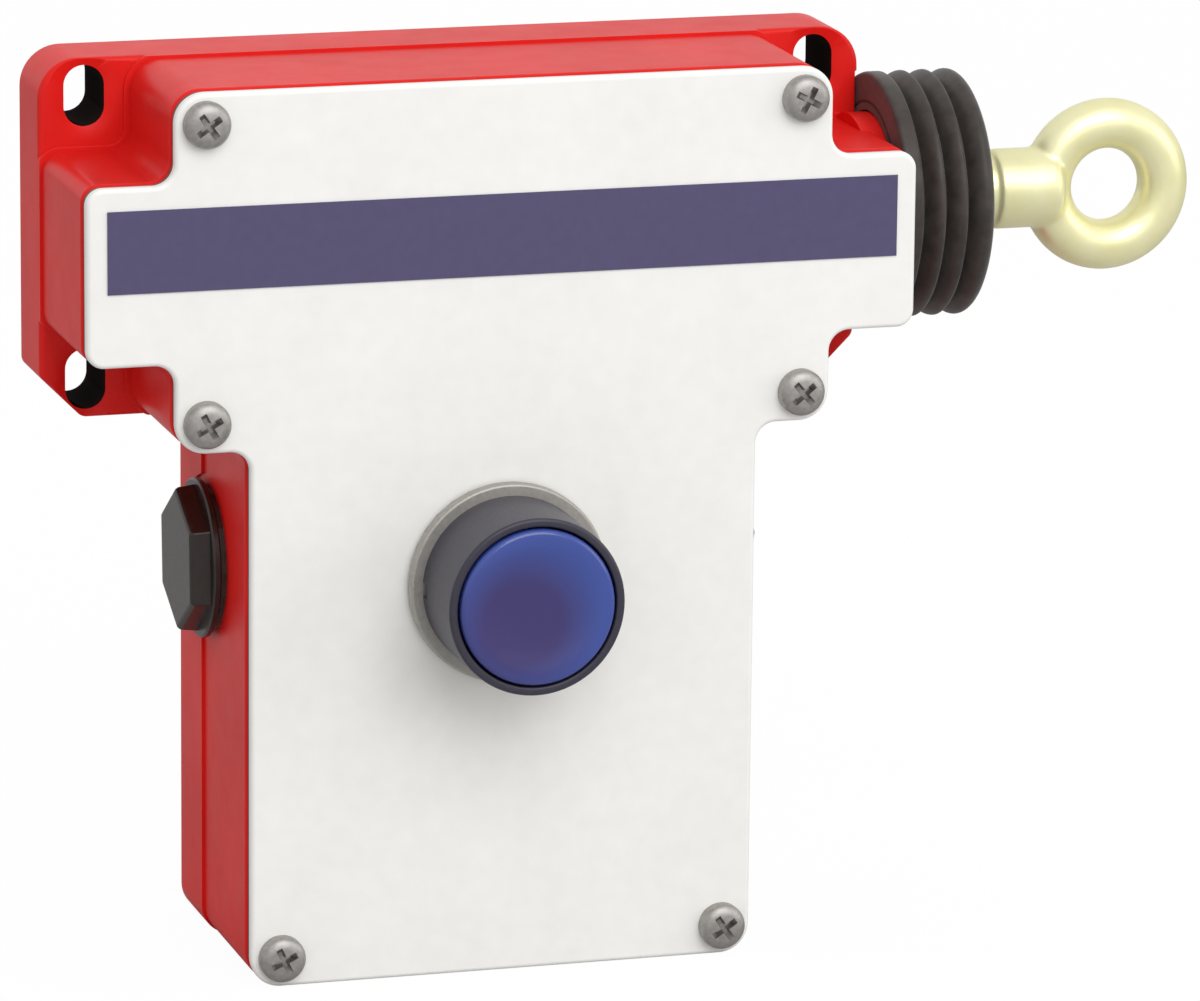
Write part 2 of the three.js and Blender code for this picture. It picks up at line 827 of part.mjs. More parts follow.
const bushLeft = noseHalf - wall - noseBossDeep;
const bushFlange = noseHigh - wall - lineZ - runningGap;
const bush = turnedAcross(ring([
  [bushLeft - bushFlangeThick, rodRadius + runningGap],
  [bushLeft - bushFlangeThick, bushFlange],
  [bushLeft, bushFlange],
  [bushLeft, bushOuter],
  [noseHalf + noseCollarLong, bushOuter],
  [noseHalf + noseCollarLong, rodRadius + runningGap],
]), 24);
add(line, 'guide_bush', bush, bronze);
add(line, 'rod_cam', makeCam(), steel);
const camPinHalf = camHigh - camPinShort;
add(line, 'cam_pin', pegUp(camPinX, 0, camPinRadius, -camPinHalf, camPinHalf), steel);

const rodNutLeft = rodLeft + 2;
const seatLeft = rodNutLeft + rodNutThick;
const springLeft = seatLeft + seatThick;
add(line, 'rod_nut', hexNut(rodNutLeft, seatLeft, rodNutRadius, rodRadius + runningGap), steel);
const springSeat = turnedAcross(ring([
  [seatLeft, rodRadius + runningGap],
  [seatLeft, seatRadius],
  [springLeft, seatRadius],
  [springLeft, rodRadius + runningGap],
]), 28);
add(line, 'spring_seat', springSeat, steel);
const springEnds = [springLeft + runningGap, bracketX - runningGap];
const mainSpring = coilSpring(springMean, springWire, ...springEnds, springTurns, 9).rotateZ(-Math.PI / 2);
add(line, 'main_spring', mainSpring, steel);

// Bent bracket that the spring pushes on and the rod runs through
function makeSpringBracket() {
  const right = bracketX + bracketThick;
  const footFront = floorFace - bracketThick;
  const sheet = slabUp(polygon([
    [bracketX, floorFace],
    [bracketX, floorFace - bracketReach],
    [right, floorFace - bracketReach],
    [right, footFront],
    [right + bracketFoot, footFront],
    [right + bracketFoot, floorFace],
  ]), bracketLow, bracketHigh);
  const hole = pegAcross(lineY, lineZ, rodRadius + runningGap, bracketX - cutPast, right + cutPast, 24);
  const screws = ['spring_bracket_screw_upper', 'spring_bracket_screw_lower'].map((name) => {
    const [x, z] = smallScrewPlaces[name];
    return peg(x, z, smallShank + runningGap, floorFace + cutPast, footFront - cutPast);
  });
  return cut(solid(sheet), hole, ...screws);
}
add(ropePullSwitch, 'spring_bracket', makeSpringBracket(), steel);

// Trip lever with a roller in its fork
function makeLever() {
  const rollerX = camLowStart;
  const back = lineY + leverWide / 2;
  const front = lineY - leverWide / 2;
  const long = slab(arm([leverX, leverZ, leverHub], [rollerX, camRollerZ, armRound]), back, front);
  const short = slab(arm([rollerX, camRollerZ, armRound], [0, leverNoseZ, armRound]), back, front);
  const forkHalf = rollerWide / 2 + runningGap;
  const forkReach = rollerRadius + 2 * runningGap;
  const fork = box(
    [rollerX - forkReach, rollerX + forkReach],
    [lineY - forkHalf, lineY + forkHalf],
    [camRollerZ - 2 * forkReach, camRollerZ + 2 * forkReach],
  );
  const pivot = peg(leverX, leverZ, leverPinRadius + runningGap, back + cutPast, front - cutPast);
  const axle = peg(rollerX, camRollerZ, rollerPinRadius + runningGap, back + cutPast, front - cutPast);
  return cut(join(long, short), fork, pivot, axle);
}

add(ropePullSwitch, 'trip_lever', makeLever(), steel);

const roller = groupAt(camLowStart, lineY, camRollerZ);
const rollerBody = turned(ring([
  [-rollerWide / 2, rollerPinRadius + runningGap],
  [-rollerWide / 2, rollerRadius],
  [rollerWide / 2, rollerRadius],
  [rollerWide / 2, rollerPinRadius + runningGap],
]), smallRound);
add(roller, 'lever_roller', rollerBody, brass);
add(roller, 'roller_pin', peg(0, 0, rollerPinRadius, leverWide / 2, -leverWide / 2), steel);

const leverFront = lineY - leverWide / 2 - runningGap;
const leverPin = turned([
  [leverFront - leverPinHeadThick, 0],
  [leverFront - leverPinHeadThick, leverPinHead],
  [leverFront, leverPinHead],
  [leverFront, leverPinRadius],
  [-leverPinDeep, leverPinRadius],
  [-leverPinDeep, 0],
], pinRound);
add(groupAt(leverX, 0, leverZ), 'lever_pin', leverPin, steel);

// Contact link: a tab under the lever's nose, a flat bar and a foot over the plungers
function makeLink() {
  const front = linkBack - linkThick;
  const tabTop = leverNoseZ - armRound - runningGap;
  const bar = box([-linkHalf, linkHalf], [front, linkBack], [linkFootZ, tabTop]);
  const tab = box([-linkTabHalf, linkTabHalf], [linkTabFront, linkBack], [tabTop - linkThick, tabTop]);
  const foot = box([-linkFootHalf, linkFootHalf], [linkFootFront, linkBack], [linkFootZ, linkFootZ + linkThick]);
  const window = box(
    [-linkWindowHalf, linkWindowHalf],
    [front - cutPast, linkBack + cutPast],
    [linkWindowLow, linkWindowHigh],
  );
  return cut(join(bar, tab, foot), window);
}
add(ropePullSwitch, 'contact_link', makeLink(), steel);

// Latch, its bracket and pin
function makeLatchBracket() {
  const base = floorFace - channelBase;
  const lipBack = linkBack - linkThick - runningGap;
  const lipFront = lipBack - lipThick;
  const sheet = slabUp(polygon(mirrored([
    [channelFoot, floorFace],
    [channelFoot, base],
    [channelHalf + channelSheet, base],
    [channelHalf + channelSheet, channelFront],
    [channelHalf, channelFront],
    [channelHalf, lipFront],
    [channelHalf - lipReach, lipFront],
    [channelHalf - lipReach, lipBack],
    [channelHalf, lipBack],
    [channelHalf, base],
  ])), channelLow, channelHigh);
  const wide = channelHalf + channelSheet + cutPast;
  const holes = [pegAcross(latchY, latchZ, latchPinRadius + runningGap, -wide, wide)];
  for (const name of ['latch_bracket_screw_left', 'latch_bracket_screw_right']) {
    const [x, z] = smallScrewPlaces[name];
    holes.push(peg(x, z, smallShank + runningGap, floorFace + cutPast, base - cutPast));
  }
  return cut(solid(sheet), ...holes);
}
add(ropePullSwitch, 'latch_bracket', makeLatchBracket(), steel);

function makeLatch() {
  const hub = pegAcross(latchY, latchZ, latchHub, -channelHalf + runningGap, channelHalf - runningGap, smallRound);
  const pivot = [latchY, latchZ, latchToeRound + 0.5];
  const toe = slabAcross(arm(pivot, [latchY, latchToeZ, latchToeRound]), -latchHalf, latchHalf);
  const hook = slabAcross(arm(pivot, [latchHookY, latchHookZ, latchToeRound]), -latchHalf, latchHalf);
  const bore = pegAcross(latchY, latchZ, latchPinRadius + runningGap, -channelHalf, channelHalf);
  return cut(join(hub, toe, hook), bore);
}
add(ropePullSwitch, 'latch_lever', makeLatch(), brass);

const latchPinIn = channelHalf + channelSheet + runningGap;
const latchPin = turnedAcross([
  [-latchPinIn - 1, 0],
  [-latchPinIn - 1, latchPinHead],
  [-latchPinIn, latchPinHead],
  [-latchPinIn, latchPinRadius],
  [latchPinIn, latchPinRadius],
  [latchPinIn, latchPinHead],
  [latchPinIn + 1, latchPinHead],
  [latchPinIn + 1, 0],
], pinRound);
add(groupAt(0, latchY, latchZ), 'latch_pin', latchPin, steel);

// Contact blocks on their plate
const plate = box([-plateHalf, plateHalf], [plateFace, floorFace], [blockBottom, plateTop]);
const plateHoles = ['plate_screw_left', 'plate_screw_right'].map((name) => {
  const [x, z] = smallScrewPlaces[name];
  return peg(x, z, smallShank + runningGap, floorFace + cutPast, plateFace - cutPast);
});
add(ropePullSwitch, 'mounting_plate', cut(solid(plate), ...plateHoles), steel);

function makeBlock(side) {
  const ends = [side * blockInner, side * blockOuter];
  const range = [Math.min(...ends), Math.max(...ends)];
  const middle = (range[0] + range[1]) / 2;
  const body = slabAcross(outline([
    [plateFace, blockTop, 0.8],
    [blockFront, blockTop, 0.8],
    [blockFront, blockStep, 0.8],
    [blockShelf, blockStep, 0.8],
    [blockShelf, blockBottom, 0.8],
    [plateFace, blockBottom, 0.8],
  ]), ...range, 1);
  const barrier = box(
    [middle - barrierHalf, middle + barrierHalf],
    [blockShelf - barrierHigh, blockShelf + cutPast],
    [blockBottom, blockStep + cutPast],
  );
  const deep = blockTop - plungerLong;
  const tools = [pegUp(side * plungerX, plungerY, plungerRadius + runningGap, deep, blockTop + cutPast)];
  for (const offset of [-terminalSpread, terminalSpread]) {
    const radius = smallShank + runningGap;
    tools.push(peg(middle + offset, terminalZ, radius, blockShelf + terminalDeep, blockShelf - cutPast));
  }
  return cut(join(body, barrier), ...tools);
}

for (const [side, name] of [[-1, 'left'], [1, 'right']]) {
  add(ropePullSwitch, `contact_block_${name}`, makeBlock(side), ivoryPlastic);
  const top = linkFootZ - runningGap;
  const plunger = pegUp(side * plungerX, plungerY, plungerRadius, top - plungerLong, top);
  add(ropePullSwitch, `plunger_${name}`, plunger, darkPlastic);
  const middle = side * (blockInner + blockOuter) / 2;
  [-terminalSpread, terminalSpread].forEach((offset, i) => {
    const screw = slottedScrew(terminalHead, smallHeadHigh, smallShank, terminalDeep - 1);
    add(groupAt(middle + offset, blockShelf, terminalZ), `terminal_screw_${name}_${i + 1}`, screw, brass);
  });
}

// Screws on the floor of the housing
const seatPlanes = {
  spring: floorFace - bracketThick,
  latch: floorFace - channelBase,
  plate: plateFace,
};
for (const [name, [x, z]] of Object.entries(smallScrewPlaces)) {
  const seat = seatPlanes[name.split('_')[0]];
  const long = floorFace + smallBite - seat;
  const screw = slottedScrew(smallHead, smallHeadHigh, smallShank, long);
  add(groupAt(x, seat, z), name, screw, steel);
}

// Earth terminal
const earthTop = floorFace - earthBossHigh;
const clamp = box(
  [earthX - earthClampHalf, earthX + earthClampHalf],
  [earthTop - earthClampThick, earthTop],
  [earthZ - earthClampHalf, earthZ + earthClampHalf],
);
const clampHole = peg(earthX, earthZ, smallShank + runningGap, earthTop + cutPast, earthTop - 2 * cutPast - earthClampThick);
add(ropePullSwitch, 'earth_clamp', cut(solid(clamp), clampHole), brass);
const earthLong = earthBossHigh + earthClampThick - 1;
const earthScrew = slottedScrew(terminalHead, smallHeadHigh, smallShank, earthLong);
add(groupAt(earthX, earthTop - earthClampThick, earthZ), 'earth_screw', earthScrew, brass);

// Reset button, built about Y with Y = 0 on the cover face and the front at -Y
const button = groupAt(0, coverFace, buttonZ);

const buttonSeal = turned(ring([
  [0, panelHole],
  [0, ringRadius - 0.3],
  [-buttonSealThick, ringRadius - 0.3],
  [-buttonSealThick, panelHole],
]), fineRound);
add(button, 'button_seal', buttonSeal, blackRubber);

const baseRing = turned(ring([
  [-buttonSealThick, panelHole],
  [-buttonSealThick, ringRadius],
  [-ringHigh * 0.6, ringRadius],
  [-ringHigh, ringTop],
  [-ringHigh, panelHole],
]), fineRound);
add(button, 'button_ring', baseRing, nickel);

// Guard sleeve with the threaded neck behind it
const sleeveBore = sleeveRadius - sleeveWall;
const sleeveBlank = turned(ring([
  [-ringHigh, neckOuter],
  [-ringHigh, sleeveRadius],
  [-sleeveHigh + 0.6, sleeveRadius],
  [-sleeveHigh, sleeveRadius - 0.6],
  [-sleeveHigh, sleeveBore],
  [-sleeveFloor, sleeveBore],
  [-sleeveFloor, stemRadius + runningGap],
  [sleeveNeck, stemRadius + runningGap],
  [sleeveNeck, neckOuter],
]), fineRound);
const notch = box(
  [-sleeveRadius - cutPast, -sleeveRadius + notchDeep],
  [-ringHigh - notchWide, -ringHigh + cutPast],
  [-notchWide / 2, notchWide / 2],
);
add(button, 'button_sleeve', cut(solid(sleeveBlank), notch), darkPlastic);

const capRadius = sleeveBore - capGap;
const capBack = -capHigh + capTop;
const cap = turned([
  [-capHigh + capDish, 0],
  [-capHigh + capDish, capRadius * 0.55],
  [-capHigh, capRadius * 0.8],
  [-capHigh, capRadius * 0.93],
  [-capHigh + 0.7, capRadius],
  [-capHigh + capSkirt, capRadius],
  [-capHigh + capSkirt, capRadius - capSkin],
  [capBack, capRadius - capSkin],
  [capBack, stemSocket],
  [capBack + stemSocketHigh, stemSocket],
  [capBack + stemSocketHigh, stemRadius + runningGap],
  [capBack, stemRadius + runningGap],
  [capBack, 0],
], fineRound);
add(button, 'button_cap', cap, bluePlastic);

const stemEnd = latchY - latchToeRound - runningGap - coverFace;
const stem = turned([
  [capBack + runningGap, 0],
  [capBack + runningGap, stemRadius],
  [stemEnd - 1, stemRadius],
  [stemEnd - 0.3, stemRadius * 0.55],
  [stemEnd, 0],
], smallRound);
add(button, 'reset_stem', stem, steel);

const clipBack = sleeveNeck + runningGap;
const clip = turned(ring([
  [clipBack, stemRadius + runningGap],
  [clipBack, clipRadius],
  [clipBack + clipThick, clipRadius],
  [clipBack + clipThick, stemRadius + runningGap],
]), smallRound);
add(button, 'stem_clip', clip, steel);

const resetEnds = [capBack + runningGap, -sleeveFloor - runningGap];
add(button, 'reset_spring', coilSpring(resetMean, resetWire, ...resetEnds, resetTurns, 8), steel);

const nutBlank = new THREE.CylinderGeometry(buttonNut, buttonNut, buttonNutThick, 6);
nutBlank.translate(0, coverThick + buttonNutThick / 2, 0);
const nutBore = peg(0, 0, neckOuter + runningGap, coverThick + buttonNutThick + cutPast, -cutPast, plainRound);
add(button, 'button_nut', cut(solid(nutBlank), nutBore), nickel);

export default ropePullSwitch;
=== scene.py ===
# %% [markdown]
# A rope pull switch, dressed in Blender.
#
# The switch is a red cast housing with a pale cover. A rope hooks into the eye on the right and
# pulls a rod through a rubber bellows, and a blue button on the cover resets it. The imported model
# already holds every piece at its real size, so it is loaded first and never changed. What the
# eye sees from outside is built again here with fine round corners, and everything else keeps
# its own mesh and gets a finish.

import json
import math

import bmesh
import bpy
from mathutils import Matrix, Vector


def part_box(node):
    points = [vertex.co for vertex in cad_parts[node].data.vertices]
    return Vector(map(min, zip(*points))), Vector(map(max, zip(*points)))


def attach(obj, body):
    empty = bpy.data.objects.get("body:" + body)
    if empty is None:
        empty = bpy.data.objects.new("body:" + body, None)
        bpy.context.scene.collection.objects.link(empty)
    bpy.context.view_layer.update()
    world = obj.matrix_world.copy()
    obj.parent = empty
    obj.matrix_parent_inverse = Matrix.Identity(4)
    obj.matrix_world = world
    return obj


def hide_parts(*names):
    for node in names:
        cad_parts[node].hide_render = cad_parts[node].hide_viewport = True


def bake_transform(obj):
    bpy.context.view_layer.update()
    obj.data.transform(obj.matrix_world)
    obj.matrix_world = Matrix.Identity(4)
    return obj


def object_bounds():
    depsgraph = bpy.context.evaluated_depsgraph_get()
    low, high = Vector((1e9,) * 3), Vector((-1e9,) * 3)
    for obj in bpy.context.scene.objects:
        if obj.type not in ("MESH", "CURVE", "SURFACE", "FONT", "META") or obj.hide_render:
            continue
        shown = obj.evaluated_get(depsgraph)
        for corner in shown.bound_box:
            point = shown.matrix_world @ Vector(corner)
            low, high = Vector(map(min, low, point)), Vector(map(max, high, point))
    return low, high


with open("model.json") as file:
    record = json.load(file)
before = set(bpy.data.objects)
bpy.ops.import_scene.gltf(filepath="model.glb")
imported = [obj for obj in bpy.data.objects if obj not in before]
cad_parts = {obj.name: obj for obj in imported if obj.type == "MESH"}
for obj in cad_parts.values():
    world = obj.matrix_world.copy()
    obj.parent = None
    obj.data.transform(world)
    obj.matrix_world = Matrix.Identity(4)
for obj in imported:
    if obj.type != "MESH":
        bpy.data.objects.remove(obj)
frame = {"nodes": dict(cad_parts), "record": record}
frame_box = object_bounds()

# %% [markdown]
# The camera stands where the photographer stood: far off, a little to the left and a little above.
# A camera could be aimed by hand or by a constraint. Here its three axes are worked out from two
# angles and a small roll and written as one matrix, which leaves nothing to guess.

# %% Camera
view_left = math.radians(16.68)
view_down = math.radians(13.46)
view_roll = math.radians(0.59)

lens_data = bpy.data.cameras.new("long_lens")
lens_data.sensor_fit = "HORIZONTAL"
lens_data.sensor_width = 36
lens_data.lens = 235.9
camera = bpy.data.objects.new("camera", lens_data)
bpy.context.scene.collection.objects.link(camera)
bpy.context.scene.camera = camera

ahead = Vector((
    math.sin(view_left) * math.cos(view_down),
    math.cos(view_left) * math.cos(view_down),
    -math.sin(view_down),
))
across = ahead.cross(Vector((0, 0, 1))).normalized()
above = across.cross(ahead)
tilted_across = across * math.cos(view_roll) + above * math.sin(view_roll)
tilted_above = above * math.cos(view_roll) - across * math.sin(view_roll)
axes = Matrix((tilted_across, tilted_above, -ahead)).transposed().to_4x4()
camera.matrix_world = Matrix.Translation((-0.3558, -1.2924, 0.26805)) @ axes
print("camera:", round(camera.location.length, 3), "m from the origin")

# %% [markdown]
# The floor is a plain sheet under the flat underside of the housing. A floor that is only lit
# would turn grey, and more light would bleach the switch. So what the camera sees of it is mostly
# its own white, and a part stays lit so that the shadow shows. What reflects in metal and paint is
# the lit floor alone, which is darker and gives round metal its dark underside.

# %% Floor and background
floor_half = 3.0
floor_level = frame_box[0].z
floor_grey, floor_glow, own_white = 0.5, 1.03, 0.94
sky_on_object, sky_seen = 0.78, 1.0


def seen_directly(nodes, links):
    """1 for what is seen straight or through glass, 0 for light that falls on the object."""
    path = nodes.new("ShaderNodeLightPath")
    either = nodes.new("ShaderNodeMath")
    either.operation = "MAXIMUM"
    links.new(path.outputs["Is Camera Ray"], either.inputs[0])
    links.new(path.outputs["Is Transmission Ray"], either.inputs[1])
    return either.outputs[0]


def white_floor():
    material = bpy.data.materials.new("white_floor")
    material.use_nodes = True
    nodes, links = material.node_tree.nodes, material.node_tree.links
    nodes.remove(nodes["Principled BSDF"])
    lit = nodes.new("ShaderNodeBsdfDiffuse")
    lit.inputs["Color"].default_value = (floor_grey, floor_grey, floor_grey, 1)
    plain = nodes.new("ShaderNodeEmission")
    plain.inputs["Color"].default_value = (1, 1, 1, 1)
    plain.inputs["Strength"].default_value = floor_glow
    share = nodes.new("ShaderNodeMath")
    share.operation = "MULTIPLY"
    share.inputs[1].default_value = own_white
    links.new(seen_directly(nodes, links), share.inputs[0])
    both = nodes.new("ShaderNodeMixShader")
    links.new(share.outputs[0], both.inputs[0])
    links.new(lit.outputs[0], both.inputs[1])
    links.new(plain.outputs[0], both.inputs[2])
    links.new(both.outputs[0], nodes["Material Output"].inputs["Surface"])
    return material


floor_mesh = bpy.data.meshes.new("floor")
floor_mesh.from_pydata([
    (-floor_half, -floor_half, floor_level),
    (floor_half, -floor_half, floor_level),
    (floor_half, floor_half, floor_level),
    (-floor_half, floor_half, floor_level),
], [], [(0, 1, 2, 3)])
floor_mesh.materials.append(white_floor())
floor = bpy.data.objects.new("floor", floor_mesh)
bpy.context.scene.collection.objects.link(floor)

world = bpy.data.worlds.new("studio")
world.use_nodes = True
bpy.context.scene.world = world
world_nodes, world_links = world.node_tree.nodes, world.node_tree.links
sky = world_nodes["Background"]
brightness = world_nodes.new("ShaderNodeMapRange")
brightness.inputs["To Min"].default_value = sky_on_object
brightness.inputs["To Max"].default_value = sky_seen
world_links.new(seen_directly(world_nodes, world_links), brightness.inputs["Value"])
world_links.new(brightness.outputs[0], sky.inputs["Strength"])
sky.inputs["Color"].default_value = (1, 1, 1, 1)
bpy.context.scene.view_settings.view_transform = "Standard"
print("floor at", round(floor_level, 4), "m")

# %% [markdown]
# The light is soft and comes from above, as from a big cloth box, with a weaker one from the
# right that keeps the bellows readable. Area lamps are used because their size sets how soft the
# shadows are. Together with the world they light a white sheet to about its own colour.

# %% Lamps
def soft_box(name, place, size, power):
    lamp = bpy.data.lights.new(name, "AREA")
    lamp.shape = "SQUARE"
    lamp.size = size
    lamp.energy = power
    box = bpy.data.objects.new(name, lamp)
    box.location = place
    box.rotation_mode = "QUATERNION"
    box.rotation_quaternion = (-Vector(place)).to_track_quat("-Z", "Y")
    bpy.context.scene.collection.objects.link(box)


soft_box("key_box", (0.2, -1.3, 1.0), 1.2, 13.0)
soft_box("side_box", (1.1, -0.6, 0.3), 0.6, 2.0)
print("lamps: 2")

# %% [markdown]
# Everything below is drawn in millimetres, as the drawing of such a switch is, and turned into
# metres in one place. The first helpers make a mesh from points, apply a modifier, and give a
# finished piece its body, its material and the pieces that it stands for.

# %% Helpers for meshes
mm = 0.001


def span(node):
    """Lowest and highest corner of a piece of the frame, in millimetres."""
    low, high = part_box(node)
    return low / mm, high / mm


def piece_from(name, points, faces):
    mesh = bpy.data.meshes.new(name)
    mesh.from_pydata([Vector(point) * mm for point in points], [], faces)
    work = bmesh.new()
    work.from_mesh(mesh)
    bmesh.ops.remove_doubles(work, verts=work.verts, dist=0.001 * mm)
    bmesh.ops.recalc_face_normals(work, faces=work.faces)
    work.to_mesh(mesh)
    work.free()
    piece = bpy.data.objects.new(name, mesh)
    bpy.context.scene.collection.objects.link(piece)
    return piece


def apply_modifiers(piece):
    graph = bpy.context.evaluated_depsgraph_get()
    finished = bpy.data.meshes.new_from_object(piece.evaluated_get(graph))
    rough = piece.data
    piece.modifiers.clear()
    piece.data = finished
    bpy.data.meshes.remove(rough)


def combine(piece, tool, operation):
    """Joins a tool to a piece or cuts it out of it, and throws the tool away."""
    change = piece.modifiers.new("change", "BOOLEAN")
    change.operation = operation
    change.solver = "EXACT"
    change.object = tool
    apply_modifiers(piece)
    bpy.data.objects.remove(tool)


def ease_edges(piece, width, segments=3, sharper_than=50):
    """Rounds every edge that turns more than an angle."""
    easing = piece.modifiers.new("easing", "BEVEL")
    easing.width = width * mm
    easing.segments = segments
    easing.limit_method = "ANGLE"
    easing.angle_limit = math.radians(sharper_than)
    apply_modifiers(piece)


def shade(piece, crease=32):
    """Soft shading that keeps edges sharper than the crease angle, with flat faces left flat."""
    piece.data.shade_smooth()
    piece.data.set_sharp_from_angle(angle=math.radians(crease))
    weighting = piece.modifiers.new("weighting", "WEIGHTED_NORMAL")
    weighting.keep_sharp = True
    apply_modifiers(piece)


def hand_over(piece, body, material, *nodes):
    """Finish, body and replaced nodes of a piece, and a line about what was made."""
    piece.data.materials.clear()
    piece.data.materials.append(material)
    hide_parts(*nodes)
    if body:
        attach(piece, body)
    print(f"{piece.name}: {len(piece.data.polygons)} faces for {', '.join(nodes)}")


print("the cover spans", [round(x, 1) for x in span("cover_plate")[1]])

# %% [markdown]
# Finishes come next, one short function for each. All of them start from the same shader and add
# a little noise: in the colour, so that no face is one flat tone, in the gloss, and in a fine
# bump. The noise reads object coordinates, so its grain is real millimetres on every piece.

# %% Helpers for finishes
for packed in bpy.data.materials:
    packed.name = "packed_" + packed.name


def start_finish(name, colour, roughness, metallic=0.0):
    material = bpy.data.materials.new(name)
    material.use_nodes = True
    surface = material.node_tree.nodes["Principled BSDF"]
    surface.inputs["Base Color"].default_value = (*colour, 1)
    surface.inputs["Roughness"].default_value = roughness
    surface.inputs["Metallic"].default_value = metallic
    material.diffuse_color = (*colour, 1)
    return material


def speckle(material, grain, detail=3.0, stretch=(1, 1, 1)):
    """Noise with grains of about that many millimetres."""
    nodes, links = material.node_tree.nodes, material.node_tree.links
    place = nodes.new("ShaderNodeTexCoord")
    mapping = nodes.new("ShaderNodeMapping")
    mapping.inputs["Scale"].default_value = stretch
    texture = nodes.new("ShaderNodeTexNoise")
    texture.inputs["Scale"].default_value = 1 / (grain * mm)
    texture.inputs["Detail"].default_value = detail
    links.new(place.outputs["Object"], mapping.inputs["Vector"])
    links.new(mapping.outputs["Vector"], texture.inputs["Vector"])
    return texture.outputs["Fac"]


def blend_colours(material, share, first, second):
    nodes, links = material.node_tree.nodes, material.node_tree.links
    ramp = nodes.new("ShaderNodeValToRGB")
    ramp.color_ramp.elements[0].position = 0.3
    ramp.color_ramp.elements[1].position = 0.7
    ramp.color_ramp.elements[0].color = (*first, 1)
    ramp.color_ramp.elements[1].color = (*second, 1)
    links.new(share, ramp.inputs["Fac"])
    links.new(ramp.outputs["Color"], nodes["Principled BSDF"].inputs["Base Color"])


def vary_gloss(material, share, low, high):
    nodes, links = material.node_tree.nodes, material.node_tree.links
    spread = nodes.new("ShaderNodeMapRange")
    spread.inputs["To Min"].default_value = low
    spread.inputs["To Max"].default_value = high
    links.new(share, spread.inputs["Value"])
    links.new(spread.outputs[0], nodes["Principled BSDF"].inputs["Roughness"])


def raise_grain(material, share, height, strength=1.0):
    """Bump from noise, as high as that many millimetres."""
    nodes, links = material.node_tree.nodes, material.node_tree.links
    bump = nodes.new("ShaderNodeBump")
    bump.inputs["Distance"].default_value = height * mm
    bump.inputs["Strength"].default_value = strength
    links.new(share, bump.inputs["Height"])
    links.new(bump.outputs["Normal"], nodes["Principled BSDF"].inputs["Normal"])


def scaled(colour, factor):
    return tuple(channel * factor for channel in colour)


def simple_finish(name, colour, roughness, metallic, grain, height, spread=0.1):
    """The finish of plain inner pieces: one colour, a little uneven, with a fine grain."""
    material = start_finish(name, colour, roughness, metallic)
    noise = speckle(material, grain)
    blend_colours(material, noise, scaled(colour, 1 - spread), scaled(colour, 1 + spread / 2))
    vary_gloss(material, noise, roughness * 0.85, min(1.0, roughness * 1.2))
    raise_grain(material, noise, height)
    return material


# %% [markdown]
# The housing is a die casting under a thick coat of red. Such a coat is never quite flat: it keeps
# a soft ripple called orange peel, which is a low bump here. The walls of the four fixing slots
# are nearly black, because hardly any light gets down them. White surroundings would shine
# through the slots, so the paint is darkened there, by its place on the object.

# %% Red paint
slot_across, slot_up, slot_radius, slot_straight = 64.7, 24.5, 3.5, 1.75
lug_face, dish_deep, dish_wide = -15.5, 0.9, 2.6
slot_margin, paint_specular = 0.1, 0.14


def near(material, value, middle, reach):
    """1 where a coordinate, without its sign, lies within some millimetres of a middle."""
    nodes, links = material.node_tree.nodes, material.node_tree.links
    size = nodes.new("ShaderNodeMath")
    size.operation = "ABSOLUTE"
    check = nodes.new("ShaderNodeMath")
    check.operation = "COMPARE"
    check.inputs[1].default_value = middle * mm
    check.inputs[2].default_value = reach * mm
    links.new(value, size.inputs[0])
    links.new(size.outputs[0], check.inputs[0])
    return check.outputs[0]


def product(material, first, second):
    nodes, links = material.node_tree.nodes, material.node_tree.links
    both = nodes.new("ShaderNodeMath")
    both.operation = "MULTIPLY"
    links.new(first, both.inputs[0])
    links.new(second, both.inputs[1])
    return both.outputs[0]


def darken_slots(material, shade_colour):
    """Mixes a dark colour in, in boxes round the slots, from their dished rings to the back."""
    nodes, links = material.node_tree.nodes, material.node_tree.links
    place = nodes.new("ShaderNodeTexCoord")
    apart = nodes.new("ShaderNodeSeparateXYZ")
    links.new(place.outputs["Object"], apart.inputs[0])
    beside = near(material, apart.outputs["X"], slot_across, slot_radius + slot_margin)
    half_high = slot_radius + slot_straight + slot_margin
    above = near(material, apart.outputs["Z"], slot_up, half_high)
    deep = near(material, apart.outputs["Y"], 0, -lug_face - dish_deep)
    inside = product(material, product(material, beside, above), deep)
    surface = nodes["Principled BSDF"]
    painted = surface.inputs["Base Color"].links[0].from_socket
    mix = nodes.new("ShaderNodeMix")
    mix.data_type = "RGBA"
    sockets = {(socket.name, socket.type): socket for socket in mix.inputs}
    links.new(inside, sockets["Factor", "VALUE"])
    links.new(painted, sockets["A", "RGBA"])
    sockets["B", "RGBA"].default_value = (*shade_colour, 1)
    result = next(socket for socket in mix.outputs if socket.type == "RGBA")
    links.new(result, surface.inputs["Base Color"])
    dull = nodes.new("ShaderNodeMapRange")
    dull.inputs["To Min"].default_value = paint_specular
    dull.inputs["To Max"].default_value = 0.0
    links.new(inside, dull.inputs["Value"])
    links.new(dull.outputs[0], surface.inputs["Specular IOR Level"])


def make_red_paint():
    red = (0.72, 0.015, 0.012)
    material = start_finish("red_paint", red, 0.3)
    surface = material.node_tree.nodes["Principled BSDF"]
    surface.inputs["Coat Weight"].default_value = 0.02
    surface.inputs["Coat Roughness"].default_value = 0.15
    blend_colours(material, speckle(material, 22), scaled(red, 0.93), scaled(red, 1.05))
    vary_gloss(material, speckle(material, 6), 0.3, 0.42)
    raise_grain(material, speckle(material, 1.6, 2.0), 0.012)
    darken_slots(material, (0.016, 0.008, 0.007))
    return material


